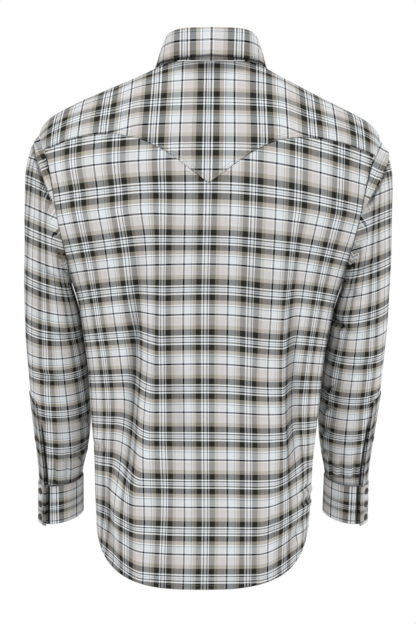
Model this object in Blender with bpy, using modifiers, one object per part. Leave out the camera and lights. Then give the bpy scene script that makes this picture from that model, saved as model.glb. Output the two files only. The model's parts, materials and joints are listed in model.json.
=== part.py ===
"""A western-cut long-sleeved snap shirt, filled out as if worn. Metres, +Z up.

The wearer faces -Y, so the wearer's left is +X. The origin is at the centre of the neck,
level with the seam between the yoke and the collar stand at the back.
Every cloth piece starts as a flat grid whose points are moved onto the worn form.
"""
import bisect
import math

import bmesh
import bpy
from mathutils import Vector

# Cloth
CLOTH = 0.0012            # wall of one piece
BAND = 0.0016             # wall of the collar stand, collar leaf and cuffs, which are doubled
SEAM = 0.0003             # space between pieces that are sewn together
LEAN = 0.018              # how far the shirt hangs to its left for each metre down
SHOULDER_RISE = 0.0035    # how much higher than even the left shoulder sits
SHOULDER_DROP = 0.0050    # how much lower than even the right shoulder sits
SHOULDER_HEIGHTS = (-0.36, -0.14)    # the unevenness grows between these heights
SHOULDER_WIDTHS = (0.07, 0.20)       # and between these distances from the middle
WELD = 0.00001            # points closer than this become one
PATH_STEPS = 24           # points between two corners of a path over the shoulders
HALVINGS = 40             # of the span in which a height on the shoulders is looked for

# The torso, from the neck down: half of its width, and how far it reaches back and forward.
SQUARENESS = 2.2          # 2 is an ellipse, more is squarer
TORSO = (
    # z, half_width, back, front
    (0.006, 0.066, 0.052, 0.036),
    (0.000, 0.075, 0.058, 0.040),
    (-0.014, 0.100, 0.067, 0.046),
    (-0.038, 0.1515, 0.080, 0.059),
    (-0.062, 0.2030, 0.090, 0.074),
    (-0.086, 0.2425, 0.099, 0.088),
    (-0.112, 0.2555, 0.107, 0.101),
    (-0.155, 0.2570, 0.118, 0.117),
    (-0.200, 0.252, 0.124, 0.127),
    (-0.243, 0.239, 0.127, 0.132),
    (-0.306, 0.2085, 0.126, 0.134),
    (-0.350, 0.192, 0.124, 0.133),
    (-0.400, 0.183, 0.122, 0.132),
    (-0.450, 0.175, 0.121, 0.131),
    (-0.510, 0.170, 0.121, 0.130),
    (-0.580, 0.1630, 0.123, 0.130),
    (-0.650, 0.1595, 0.126, 0.131),
    (-0.800, 0.1480, 0.131, 0.133),
)
SHOULDERS_END = -0.243    # the lowest place that is still looked for on the shoulders

# Neckline, as it looks from above
NECK_HALF_WIDTH = 0.078
NECK_MIDDLE = -0.008      # its centre along Y
NECK_BACK = 0.066
NECK_FRONT = 0.068

# Armhole, as it looks from the side
ARM_TOP = -0.101
ARM_BOTTOM = -0.322
ARM_MIDDLE = -0.003
ARM_BACK = 0.063
ARM_FRONT = 0.058
ARM_STEP = 15.0           # degrees between the points of its edge
ARM_GAP = 0.0016          # between the middle lines of the two walls that meet there
HALF_SEAM = SEAM / 2
HALF_ARM = ARM_GAP / 2

# Seams and hem
YOKE_POINT = -0.182
YOKE_SEAM = (
    # x, z of the seam between the yoke and the back
    (0.000, YOKE_POINT),
    (0.028, -0.1605),
    (0.060, -0.1375),
    (0.091, -0.1210),
    (0.122, -0.1125),
    (0.155, -0.1105),
    (0.198, -0.1165),
    (0.235, -0.1300),
)
YOKE_CORNER = 45.0        # where the yoke's seams meet the armhole, in degrees from its top
YOKE_NECK_END = 120.0     # where the yoke ends on the neckline, in degrees from the back
HEM_BACK = -0.768
HEM_FRONT = -0.752
HEM_SIDE = -0.684
HEM_CURVE = 2.6

# Front closing
PLACKET_LIFT = 0.0019     # from the left front to the strip on it
LAP_LIFT = 0.0018         # the left front passes this far over the right one
LAP_WIDTHS = (0.018, 0.050)    # and comes down to its own side between these widths
FRONT_STRAIGHT = 0.6      # the share of the front's rows over which its columns straighten

# Sleeves, from the armhole to the cuff. Each ring has an outer and an inner point.
SLEEVE = (
    # x_out, z_out, x_in, z_in, y, half_depth, forward_tilt in degrees
    (0.2675, -0.1220, 0.2035, -0.3310, -0.006, 0.0640, 0.0),
    (0.2755, -0.1580, 0.1988, -0.3430, -0.010, 0.0675, 2.0),
    (0.2768, -0.2030, 0.1932, -0.3600, -0.015, 0.0700, 4.0),
    (0.2768, -0.2530, 0.1885, -0.3820, -0.020, 0.0710, 6.0),
    (0.2764, -0.3030, 0.1843, -0.4070, -0.025, 0.0700, 8.0),
    (0.2755, -0.3530, 0.1797, -0.4350, -0.030, 0.0680, 10.0),
    (0.2732, -0.4030, 0.1765, -0.4660, -0.036, 0.0650, 12.0),
    (0.2697, -0.4480, 0.1742, -0.4950, -0.043, 0.0610, 14.0),
    (0.2660, -0.4880, 0.1732, -0.5220, -0.051, 0.0570, 15.0),
    (0.2620, -0.5230, 0.1745, -0.5470, -0.059, 0.0530, 16.0),
    (0.2580, -0.5550, 0.1770, -0.5700, -0.067, 0.0490, 16.0),
    (0.2545, -0.5840, 0.1810, -0.5900, -0.075, 0.0450, 16.0),
    (0.2522, -0.6080, 0.1848, -0.6060, -0.082, 0.0410, 16.0),
    (0.2515, -0.6275, 0.1868, -0.6175, -0.088, 0.0375, 16.0),
)
CUFF = (
    # x_out, z_out, x_in, z_in, y, half_depth, forward_tilt: its upper and lower edges
    (0.2515, -0.6280, 0.1868, -0.6180, -0.0885, 0.0365, 16.0),
    (0.2520, -0.6880, 0.1865, -0.6740, -0.1050, 0.0370, 16.0),
)
CUFF_LAP_OVER = 55.0      # where its upper end lies, in degrees from the outer point to the back
CUFF_LAP_UNDER = 25.0     # where its lower end lies
CUFF_LAP_STARTS = 320.0   # where the upper end starts to rise
CUFF_LAP_LIFT = 0.0021    # the upper end passes this far over the lower one
SLIT_TURN = 45.0          # where the slit lies, in degrees from the outer point to the back
SLIT_COLUMNS = 3          # of the strip beside it
SLIT_TOP = 9              # the sleeve ring where the strip starts
SLIT_SNAP = (1.5, 2.0)    # column and row of its snap
SLIT_LIFT = 0.00045       # from the sleeve to the strip
SLIT_END = 0.0006         # from the strip's lower end to the cuff's seam

# Collar, from the centre back to the front, on the wearer's left
STAND_OVER_SEAM = 0.0017  # from the neckline up to the stand's bottom edge
STAND_INSIDE = 0.0045     # from the fold in to the stand's top edge
STAND_UNDER = 0.0044      # from the fold down to the stand's top edge
STAND_LAP = 0.0012        # the stand's ends part by twice this at the front
STAND_LAP_TURNS = (140.0, 170.0)     # they part between these turns round the neck
STAND_END_DROP = 0.00015  # how far its top edge drops for each degree past the fold's end
STAND_ROWS = 2
COLLAR_FOLD = (
    # degrees round the neck, x, y, z of the fold
    (0.0, 0.000, 0.050, 0.0515),
    (45.0, 0.049, 0.034, 0.0505),
    (90.0, 0.0665, -0.008, 0.0415),
    (120.0, 0.059, -0.039, 0.0215),
    (145.0, 0.040, -0.058, -0.0070),
    (168.0, 0.013, -0.067, -0.0320),
)
COLLAR_EDGE = (
    # degrees round the neck, x, y, z of the lower edge
    (0.0, 0.000, 0.0665, 0.0040),
    (45.0, 0.059, 0.044, 0.0030),
    (90.0, 0.0820, -0.008, 0.0000),
    (120.0, 0.086, -0.052, -0.0310),
    (145.0, 0.077, -0.080, -0.0700),
    (168.0, 0.060, -0.108, -0.1170),
)
COLLAR_END = 168.0
COLLAR_CLEAR = 0.0045     # from the torso to the collar leaf
LEAF_ROWS = (
    # share of the way from fold to edge, moved outwards, moved up
    (0.00, -0.0036, -0.0031),
    (0.00, 0.0000, 0.0000),
    (0.08, 0.0022, 0.0000),
    (0.35, 0.0022, 0.0000),
    (0.70, 0.0012, 0.0000),
    (1.00, 0.0000, 0.0000),
)

# Snaps
SNAP_PROFILE = (
    # radius, height: a domed cap, from its middle down to its underside
    (0.0000, 0.0022),
    (0.0033, 0.0020),
    (0.0051, 0.0013),
    (0.0054, 0.0004),
    (0.0050, 0.0000),
    (0.0000, 0.0000),
)
SNAP_SIDES = 12
CUFF_SNAPS = 3
CUFF_SNAP_INSET = 1.5     # columns from the cuff's upper end to its snaps
CUFF_SNAP_TOP = 0.30      # the row of the cuff's grid where the first snap lies
CUFF_SNAP_STEP = 0.68     # rows between the snaps
FRONT_SNAPS = 7
FRONT_SNAP_COLUMN = 1.0   # of the strip's grid
FRONT_SNAP_TOP = 1.0      # the row of the front's grid where the first snap lies
FRONT_SNAP_STEP = 2.1     # rows between the snaps
COLLAR_SNAP = (1.5, 1.0)  # column and row on the stand

# Broad folds: soft troughs that run from their top to their bottom
BACK_FOLDS = (
    # x_top, z_top, x_bottom, z_bottom, half_width, depth
    (0.120, -0.300, 0.070, -0.560, 0.022, 0.0045),
    (-0.125, -0.310, -0.065, -0.590, 0.024, 0.0050),
    (0.030, -0.520, 0.085, -0.740, 0.020, 0.0035),
    (-0.110, -0.560, -0.135, -0.660, 0.018, 0.0030),
)
FRONT_FOLDS = (
    (0.125, -0.250, 0.080, -0.520, 0.024, 0.0045),
    (-0.120, -0.270, -0.070, -0.500, 0.022, 0.0040),
    (-0.085, -0.520, -0.095, -0.700, 0.020, 0.0035),
)

# Columns and rows of the grids
BACK_COLUMNS = 20         # also the yoke's
NECK_COLUMNS = 4          # of the yoke, from the centre back to the side of the neck
YOKE_ROWS = 6             # up to the neck and the shoulder ridge
YOKE_FRONT_ROWS = 3       # from the ridge to the front seam
SIDE_ROWS = 8             # from the underarm to the hem
CLOSING_COLUMNS = 2       # of the lap, which run straight down
CUFF_COLUMNS = int((360.0 + CUFF_LAP_OVER - CUFF_LAP_UNDER) / ARM_STEP)
CUFF_ROWS = 2
STAND_ANGLES = (0.0, 22.5, 45.0, 67.5, 90.0, 100.0, 110.0, 120.0, 136.0, 152.0, 168.0, 180.0, 192.0)
FRONT_ANGLES = (192.0, 180.0, 168.0, 152.0, 136.0, 120.0)


def between_rows(rows, key):
    """The values of a table at a key, on a smooth curve through its rows."""
    rows = sorted(rows)
    keys = [row[0] for row in rows]
    place = min(max(bisect.bisect_right(keys, key) - 1, 0), len(rows) - 2)
    span = keys[place + 1] - keys[place]
    part = min(max((key - keys[place]) / span, 0.0), 1.0)

    def slope(index, column):
        low = max(index - 1, 0)
        high = min(index + 1, len(rows) - 1)
        return (rows[high][column] - rows[low][column]) / (keys[high] - keys[low])

    values = []
    for column in range(1, len(rows[0])):
        start, end = rows[place][column], rows[place + 1][column]
        leave, arrive = slope(place, column) * span, slope(place + 1, column) * span
        values.append(
            start * (1 + 2 * part) * (1 - part) ** 2 + leave * part * (1 - part) ** 2
            + end * part * part * (3 - 2 * part) + arrive * part * part * (part - 1)
        )
    return values


def ease(value, start, end):
    """0 at the start, 1 at the end, with a soft change between them."""
    part = min(max((value - start) / (end - start), 0.0), 1.0)
    return part * part * (3 - 2 * part)


def settled(point):
    """The even form hung as worn: leaning to its left, with one shoulder above the other."""
    high = ease(point.z, *SHOULDER_HEIGHTS) * ease(abs(point.x), *SHOULDER_WIDTHS)
    lift = SHOULDER_RISE if point.x > 0 else -SHOULDER_DROP
    return Vector((point.x - LEAN * point.z, point.y, point.z + lift * high))


def trough(folds, x, z):
    """How deep the broad folds press the cloth in at a place on the torso."""
    depth = 0.0
    for x_top, z_top, x_bottom, z_bottom, half_width, most in folds:
        along = (z_top - z) / (z_top - z_bottom)
        if 0.0 < along < 1.0:
            aside = x - (x_top + (x_bottom - x_top) * along)
            depth += most * math.exp(-(aside / half_width) ** 2) * math.sin(math.pi * along) ** 2
    return depth


def torso(z, turn):
    """The point of the torso at a height, turned from the centre back (0) to the left side (90)."""
    half_width, back, front = between_rows(TORSO, z)
    side = math.sin(math.radians(turn))
    depth = math.cos(math.radians(turn))
    x = math.copysign(half_width * abs(side) ** (2 / SQUARENESS), side)
    reach = back if depth > 0 else front
    fold = trough(BACK_FOLDS if depth > 0 else FRONT_FOLDS, x, z) * abs(depth)
    y = math.copysign((reach - fold) * abs(depth) ** (2 / SQUARENESS), depth)
    return Vector((x, y, z))


def turn_at(z, y):
    """The turn round the torso at which it has this height and depth."""
    reach = between_rows(TORSO, z)[1 if y > 0 else 2]
    part = min(abs(y) / reach, 1.0) ** (SQUARENESS / 2)
    turn = math.degrees(math.acos(part))
    return turn if y > 0 else 180.0 - turn


def on_shoulders(x, y):
    """The point of the shoulders under a place seen from above."""
    high, low = TORSO[0][0], SHOULDERS_END
    for _ in range(HALVINGS):
        middle = (high + low) / 2
        half_width, back, front = between_rows(TORSO, middle)
        reach = back if y > 0 else front
        inside = (abs(x) / half_width) ** SQUARENESS + (abs(y) / reach) ** SQUARENESS < 1
        if inside:
            low = middle
        else:
            high = middle
    return Vector((x, y, (high + low) / 2))


def station(stations, value):
    """The two stations round a value, and how far it lies between them."""
    place = min(max(bisect.bisect_right(stations, value) - 1, 0), len(stations) - 2)
    low, high = stations[place], stations[place + 1]
    return low, high, (value - low) / (high - low)


def armhole_point(turn):
    """The left armhole's edge, turned from its top (0) through the back (90) to the underarm."""
    centre = (ARM_TOP + ARM_BOTTOM) / 2
    z = centre + (ARM_TOP - centre) * math.cos(math.radians(turn))
    sine = math.sin(math.radians(turn))
    y = ARM_MIDDLE + (ARM_BACK if sine > 0 else ARM_FRONT) * sine
    return torso(z, turn_at(z, y))


def armhole(turn):
    """The armhole's edge as straight runs, which every piece that meets there shares."""
    turn = (turn + 180.0) % 360.0 - 180.0
    stations = [-180.0 + ARM_STEP * step for step in range(int(360 / ARM_STEP) + 1)]
    low, high, part = station(stations, turn)
    return armhole_point(low).lerp(armhole_point(high), part)


def neck_point(turn):
    """A point of the neckline, turned from the centre back (0) to the left side (90)."""
    sine, cosine = math.sin(math.radians(turn)), math.cos(math.radians(turn))
    reach = NECK_BACK if cosine > 0 else NECK_FRONT
    return on_shoulders(NECK_HALF_WIDTH * sine, NECK_MIDDLE + reach * cosine)


def neckline(turn):
    """The neckline as straight runs, turned from the centre back (0) to the left side (90)."""
    low, high, part = station(STAND_ANGLES, abs(turn))
    point = neck_point(low).lerp(neck_point(high), part)
    if turn < 0:
        point.x = -point.x
    return point


def even_path(corners, count):
    """A path over the shoulders through corners seen from above, cut into equal lengths."""
    dense = []
    for start, end in zip(corners, corners[1:]):
        dense += [on_shoulders(*start.lerp(end, step / PATH_STEPS).xy) for step in range(PATH_STEPS)]
    dense.append(on_shoulders(*corners[-1].xy))
    lengths = [0.0]
    for start, end in zip(dense, dense[1:]):
        lengths.append(lengths[-1] + (end - start).length)
    path = []
    for step in range(count + 1):
        target = lengths[-1] * step / count
        low, high, part = station(lengths, target)
        place = lengths.index(low)
        path.append(dense[place].lerp(dense[place + 1], part))
    return path


def hem_height(turn, centre):
    """The height of the curved hem, from its centre up to the side seam."""
    return centre + (HEM_SIDE - centre) * (abs(turn) / 90.0) ** HEM_CURVE


def edge_rows():
    """Height and turn of each row of the body panels where they end, at the armhole or side seam."""
    rows = []
    for step in range(int((180.0 - YOKE_CORNER) / ARM_STEP) + 1):
        point = armhole_point(YOKE_CORNER + ARM_STEP * step)
        rows.append((point.z, turn_at(point.z, max(point.y, WELD))))
    for step in range(1, SIDE_ROWS + 1):
        rows.append((ARM_BOTTOM + (HEM_SIDE - ARM_BOTTOM) * step / SIDE_ROWS, 90.0))
    return rows


EDGE_ROWS = edge_rows()
BODY_ROWS = len(EDGE_ROWS) - 1


def panel(name, columns, rows, place, axis, wall, material, drop=None, welded=False, grows=1.0):
    """Moves a flat grid onto the form and gives it a wall, which grows out (1) or in (-1)."""
    mesh = bpy.data.meshes.new(name)
    grid = bmesh.new()
    bmesh.ops.create_grid(grid, x_segments=columns, y_segments=rows, size=0.5)
    if drop:
        faces = []
        for face in grid.faces:
            centre = face.calc_center_median()
            if drop((centre.x + 0.5) * columns, (0.5 - centre.y) * rows):
                faces.append(face)
        bmesh.ops.delete(grid, geom=faces, context="FACES")
    for vertex in grid.verts:
        column = round((vertex.co.x + 0.5) * columns)
        row = round((0.5 - vertex.co.y) * rows)
        vertex.co = place(column, row)
    if welded:
        bmesh.ops.remove_doubles(grid, verts=grid.verts, dist=WELD)
    bmesh.ops.triangulate(grid, faces=grid.faces, quad_method="SHORT_EDGE")
    grid.normal_update()
    outward = sum(
        (face.calc_center_median() - axis(face.calc_center_median().z)).dot(face.normal) * face.calc_area()
        for face in grid.faces
    )
    if outward < 0:
        bmesh.ops.reverse_faces(grid, faces=grid.faces)
    for vertex in grid.verts:
        vertex.co = settled(vertex.co)
    grid.to_mesh(mesh)
    grid.free()
    mesh.shade_smooth()
    piece = bpy.data.objects.new(name, mesh)
    shirt.objects.link(piece)
    piece.data.materials.append(material)
    thickness = piece.modifiers.new("Wall", "SOLIDIFY")
    thickness.thickness = wall
    thickness.offset = grows
    thickness.use_rim = True
    return piece


def pulled_in(place, columns, rows, left=0.0, right=0.0, top=0.0, bottom=0.0):
    """The same grid with its edges moved in, which leaves the space at its seams."""
    def moved(column, row):
        point = place(column, row)
        shift = Vector()
        if left and column == 0:
            shift += (place(1, row) - point).normalized() * left
        if right and column == columns:
            shift += (place(columns - 1, row) - point).normalized() * right
        if top and row == 0:
            shift += (place(column, 1) - point).normalized() * top
        if bottom and row == rows:
            shift += (place(column, rows - 1) - point).normalized() * bottom
        return point + shift
    return moved


def mirrored(place):
    """The same piece on the wearer's right."""
    def moved(column, row):
        point = place(column, row)
        return Vector((-point.x, point.y, point.z))
    return moved


def body_axis(z):
    """The middle of the torso at a height."""
    return Vector((0.0, 0.0, z))


def left_sleeve_axis(z):
    """The middle of the left sleeve at a height."""
    rows = [((z_out + z_in) / 2, (x_out + x_in) / 2, y) for x_out, z_out, x_in, z_in, y, _, _ in SLEEVE]
    return Vector((*between_rows(rows, z), z))


def right_sleeve_axis(z):
    """The middle of the right sleeve at a height."""
    axis = left_sleeve_axis(z)
    return Vector((-axis.x, axis.y, z))


def neck_axis(z):
    """The middle of the neck at a height."""
    return Vector((0.0, NECK_MIDDLE, z))


# The back, below the yoke

def yoke_seam_point(across):
    """The seam between the yoke and the back, from the centre (0) to the left armhole (1)."""
    corner = EDGE_ROWS[0][1]
    x = YOKE_SEAM[-1][0] * math.sin(math.radians(corner * abs(across)))
    for _ in range(3):
        z = between_rows(YOKE_SEAM, abs(x))[0]
        point = torso(z, corner * across)
        x = point.x
    return point


def row_height(top, hem, row, edge_share):
    """The height of a row between a panel's top and its hem, evener towards its middle."""
    edge_top, edge_hem = EDGE_ROWS[0][0], EDGE_ROWS[-1][0]
    at_edge = (EDGE_ROWS[row][0] - edge_top) / (edge_hem - edge_top)
    part = row / BODY_ROWS + (at_edge - row / BODY_ROWS) * edge_share
    return top + (hem - top) * part


def back_place(column, row):
    """A point of the back, columns from the left armhole, rows down to the hem."""
    across = 1.0 - 2.0 * column / BACK_COLUMNS
    last_arm_row = BODY_ROWS - SIDE_ROWS
    if abs(across) == 1.0 and row <= last_arm_row:
        point = armhole(YOKE_CORNER + ARM_STEP * row)
        point.x *= across
        return point
    top = yoke_seam_point(across)
    if row == 0:
        return top
    hem = hem_height(90.0 * across, HEM_BACK)
    z = row_height(top.z, hem, row, across * across)
    return torso(z, EDGE_ROWS[row][1] * across)


# The yoke, over both shoulders

def yoke_front_seam(step):
    """The seam between the yoke and the left front, from the neck (0) to the armhole."""
    steps = BACK_COLUMNS // 2 - NECK_COLUMNS
    return even_path([neckline(YOKE_NECK_END), armhole(-YOKE_CORNER)], steps)[step]


def yoke_ridge(index):
    """The neckline beside the back of the neck, then the shoulder ridge to the armhole."""
    if index <= NECK_COLUMNS:
        return neckline(90.0 * index / NECK_COLUMNS)
    steps = BACK_COLUMNS // 2 - NECK_COLUMNS
    return even_path([neckline(90.0), armhole(0.0)], steps)[index - NECK_COLUMNS]


def yoke_left(index, row):
    """A yoke point from the centre back (0) out to the left armhole, rows from the front seam."""
    over = row - YOKE_FRONT_ROWS
    if index == BACK_COLUMNS // 2:
        rows = YOKE_ROWS if over > 0 else YOKE_FRONT_ROWS
        return armhole(YOKE_CORNER * over / rows)
    if over < 0 and index == NECK_COLUMNS:
        return neckline(90.0 - (YOKE_NECK_END - 90.0) * over / YOKE_FRONT_ROWS)
    ridge = yoke_ridge(index)
    if over == 0:
        return ridge
    if over > 0:
        seam = yoke_seam_point(2.0 * index / BACK_COLUMNS)
        if over == YOKE_ROWS:
            return seam
        return even_path([ridge, seam], YOKE_ROWS)[over]
    front = yoke_front_seam(index - NECK_COLUMNS)
    return even_path([ridge, front], YOKE_FRONT_ROWS)[-over]


def yoke_place(column, row):
    """A yoke point, columns from the left armhole, rows from the front seam."""
    index = BACK_COLUMNS // 2 - column
    point = yoke_left(abs(index), row)
    return point if index >= 0 else Vector((-point.x, point.y, point.z))


def neck_hole(column, row):
    """Whether a face of the yoke's grid lies where the neck comes through."""
    return abs(column - BACK_COLUMNS / 2) < NECK_COLUMNS and row < YOKE_FRONT_ROWS


# The fronts, from the closing edge out to the armhole and side seam

FRONT_COLUMNS = len(FRONT_ANGLES) - 1 + BACK_COLUMNS // 2 - NECK_COLUMNS


def front_top(column):
    """A point of the front's upper edge: the neckline, then the yoke's seam."""
    last = len(FRONT_ANGLES) - 1
    if column <= last:
        return neckline(FRONT_ANGLES[column])
    return yoke_front_seam(column - last)


def front_turn(x, z):
    """The turn from the centre front at which the torso is this far from the middle."""
    part = (abs(x) / between_rows(TORSO, z)[0]) ** (SQUARENESS / 2)
    return math.copysign(math.degrees(math.asin(min(part, 1.0))), x)


def front_place(column, row):
    """A point of a front, columns from the closing edge, rows down to the hem."""
    last_arm_row = BODY_ROWS - SIDE_ROWS
    if column == FRONT_COLUMNS and row <= last_arm_row:
        return armhole(-YOKE_CORNER - ARM_STEP * row)
    top = front_top(column)
    if row == 0:
        return top
    edge_share = (column / FRONT_COLUMNS) ** 2
    if column <= CLOSING_COLUMNS:
        z = row_height(top.z, HEM_FRONT, row, edge_share)
        return torso(z, 180.0 - front_turn(top.x, z))
    closing_turn = front_turn(front_top(CLOSING_COLUMNS).x, HEM_FRONT)
    part = (column - CLOSING_COLUMNS) / (FRONT_COLUMNS - CLOSING_COLUMNS)
    low_turn = closing_turn + (90.0 - closing_turn) * part
    z = row_height(top.z, hem_height(low_turn, HEM_FRONT), row, edge_share)
    edge_turn = EDGE_ROWS[row][1]
    high_turn = front_turn(top.x, top.z) * edge_turn / EDGE_ROWS[0][1]
    share = ease(row, 0, FRONT_STRAIGHT * BODY_ROWS)
    turn = high_turn + (low_turn * edge_turn / 90.0 - high_turn) * share
    return torso(z, 180.0 - turn)


def front_left_place(column, row):
    """The left front, which laps over the right one at the centre."""
    point = front_place(column, row)
    point.y -= LAP_LIFT * (1.0 - ease(point.x, *LAP_WIDTHS))
    return point


def placket_place(column, row):
    """The strip down the left front's closing edge."""
    point = front_left_place(column, row)
    point.y -= PLACKET_LIFT
    return point


# Sleeves and cuffs

def ring_point(ring, turn):
    """A point of a sleeve ring, turned from its outer point (0) through the back (90)."""
    x_out, z_out, x_in, z_in, y, half_depth, tilt = ring
    out = Vector((x_out, y, z_out))
    inner = Vector((x_in, y, z_in))
    back = Vector((0.0, math.cos(math.radians(tilt)), -math.sin(math.radians(tilt))))
    angle = math.radians(turn)
    return (out + inner) / 2 + (out - inner) / 2 * math.cos(angle) + back * half_depth * math.sin(angle)


ARM_COLUMNS = int(360 / ARM_STEP)
SLEEVE_ROWS = len(SLEEVE)


def sleeve_place(column, row):
    """A point of the sleeve, columns from the underarm through the back."""
    turn = 180.0 - ARM_STEP * column
    if row > 0:
        return ring_point(SLEEVE[row - 1], turn)
    edge = armhole(turn)
    under = ((1.0 - math.cos(math.radians(turn))) / 2) ** 2
    edge += Vector((1.0, 0.0, 0.0)) * (CLOTH + 2 * SEAM) * under
    return edge + (ring_point(SLEEVE[0], turn) - edge).normalized() * ARM_GAP / 2


def outward_normal(place, column, row, middle):
    """The normal of a grid at one of its inner points, away from a middle point."""
    across = place(column + 1, row) - place(column - 1, row)
    down = place(column, row + 1) - place(column, row - 1)
    normal = across.cross(down).normalized()
    return normal if normal.dot(place(column, row) - middle) > 0 else -normal


def slit_place(column, row):
    """The strip beside the sleeve's slit, just off the sleeve."""
    sleeve_column = int((180.0 - SLIT_TURN) / ARM_STEP) + column
    sleeve_row = min(SLIT_TOP + row, SLEEVE_ROWS)
    point = sleeve_place(sleeve_column, sleeve_row)
    normal_row = min(sleeve_row, SLEEVE_ROWS - 1)
    normal = outward_normal(sleeve_place, sleeve_column, normal_row, left_sleeve_axis(point.z))
    return point + normal * SLIT_LIFT


def cuff_place(column, row):
    """A point of the cuff, whose upper end laps over the lower one."""
    turn = CUFF_LAP_UNDER + ARM_STEP * column
    upper, lower = CUFF
    ring = [top + (bottom - top) * row / CUFF_ROWS for top, bottom in zip(upper, lower)]
    point = ring_point(ring, turn)
    middle = (ring_point(ring, 0.0) + ring_point(ring, 180.0)) / 2
    lift = CUFF_LAP_LIFT * ease(turn, CUFF_LAP_STARTS, 360.0 + CUFF_LAP_UNDER)
    return point + (point - middle).normalized() * lift


# Collar

def around_neck(rows, turn):
    """A point of the collar's fold or edge at a turn round the neck."""
    x, y, z = between_rows(rows, abs(turn))
    return Vector((math.copysign(x, turn), y, z))


def from_neck_axis(point):
    """The level direction away from the middle of the neck."""
    return (Vector((point.x, point.y, 0.0)) - Vector((0.0, NECK_MIDDLE, 0.0))).normalized()


def half_steps(angles):
    """The same angles, with one more half way between each two."""
    middles = [(start + end) / 2 for start, end in zip(angles, angles[1:])]
    return sorted([*angles, *middles])


STAND_SIDE = half_steps(STAND_ANGLES)
STAND_TURNS = STAND_SIDE[:0:-1] + [-turn for turn in STAND_SIDE]
LEAF_SIDE = [turn for turn in STAND_SIDE if turn <= COLLAR_END]
LEAF_TURNS = LEAF_SIDE[:0:-1] + [-turn for turn in LEAF_SIDE]


def stand_place(column, row):
    """A point of the collar stand, rows up from the neckline."""
    turn = STAND_TURNS[column]
    bottom = neckline(turn)
    bottom.z += STAND_OVER_SEAM
    if abs(turn) <= COLLAR_END:
        fold = around_neck(COLLAR_FOLD, turn)
    else:
        fold = around_neck(COLLAR_FOLD, math.copysign(COLLAR_END, turn))
        fold.x = bottom.x
        fold.z -= STAND_END_DROP * (abs(turn) - COLLAR_END)
    top = fold - from_neck_axis(fold) * STAND_INSIDE
    top.z -= STAND_UNDER
    point = bottom.lerp(top, row / STAND_ROWS)
    lap = ease(abs(turn), *STAND_LAP_TURNS) * math.copysign(STAND_LAP, turn)
    return point + from_neck_axis(point) * lap


def clear_of_torso(point, clearance):
    """Moves a point level outwards until it has this much space to the torso."""
    half_width, back, front = between_rows(TORSO, point.z)
    reach = back if point.y > 0 else front
    measure = (abs(point.x) / half_width) ** SQUARENESS + (abs(point.y) / reach) ** SQUARENESS
    measure = measure ** (1 / SQUARENESS)
    least = 1.0 + clearance / math.hypot(point.x, point.y)
    if measure < least:
        point.x *= least / measure
        point.y *= least / measure
    return point


def leaf_place(column, row):
    """A point of the collar leaf, rows from inside the fold to its edge."""
    turn = LEAF_TURNS[column]
    share, outwards, up = LEAF_ROWS[row]
    fold = around_neck(COLLAR_FOLD, turn)
    edge = around_neck(COLLAR_EDGE, turn)
    point = fold.lerp(edge, share)
    point += from_neck_axis(fold) * outwards
    point.z += up
    if point.z < 0.0:
        point = clear_of_torso(point, COLLAR_CLEAR)
    return point


# Snaps

def spot(place, column, row, wall, middle):
    """Where a snap sits on a grid: the point on its outer face, and the way that faces."""
    low_column, low_row = math.floor(column), math.floor(row)
    corners = [
        place(low_column + right, low_row + down)
        for down in (0, 1) for right in (0, 1)
    ]
    upper = corners[0].lerp(corners[1], column - low_column)
    lower = corners[2].lerp(corners[3], column - low_column)
    point = upper.lerp(lower, row - low_row)
    normal = (corners[3] - corners[0]).cross(corners[2] - corners[1]).normalized()
    if normal.dot(point - middle) < 0:
        normal = -normal
    return point + normal * (wall + SEAM), normal


def snap(name, place, column, row, wall, middle):
    """A pearl snap's cap: a profile turned round its axis, laid on a piece."""
    mesh = bpy.data.meshes.new(name)
    profile = bmesh.new()
    verts = [profile.verts.new((radius, 0.0, height)) for radius, height in SNAP_PROFILE]
    for start, end in zip(verts, verts[1:]):
        profile.edges.new((start, end))
    profile.to_mesh(mesh)
    profile.free()
    cap = bpy.data.objects.new(name, mesh)
    shirt.objects.link(cap)
    cap.data.materials.append(pearl)
    turned = cap.modifiers.new("Turned", "SCREW")
    turned.steps = SNAP_SIDES
    turned.render_steps = SNAP_SIDES
    turned.use_merge_vertices = True
    turned.merge_threshold = WELD
    turned.use_smooth_shade = True
    point, normal = spot(place, column, row, wall, middle)
    point = settled(point)
    cap.rotation_mode = "QUATERNION"
    cap.rotation_quaternion = Vector((0.0, 0.0, 1.0)).rotation_difference(normal)
    cap.location = point


def finish(name, colour, roughness, metallic=0.0):
    """A plain material of one colour."""
    material = bpy.data.materials.new(name)
    material.use_nodes = True
    shader = material.node_tree.nodes["Principled BSDF"]
    shader.inputs["Base Color"].default_value = (*colour, 1.0)
    shader.inputs["Roughness"].default_value = roughness
    shader.inputs["Metallic"].default_value = metallic
    return material


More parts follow.
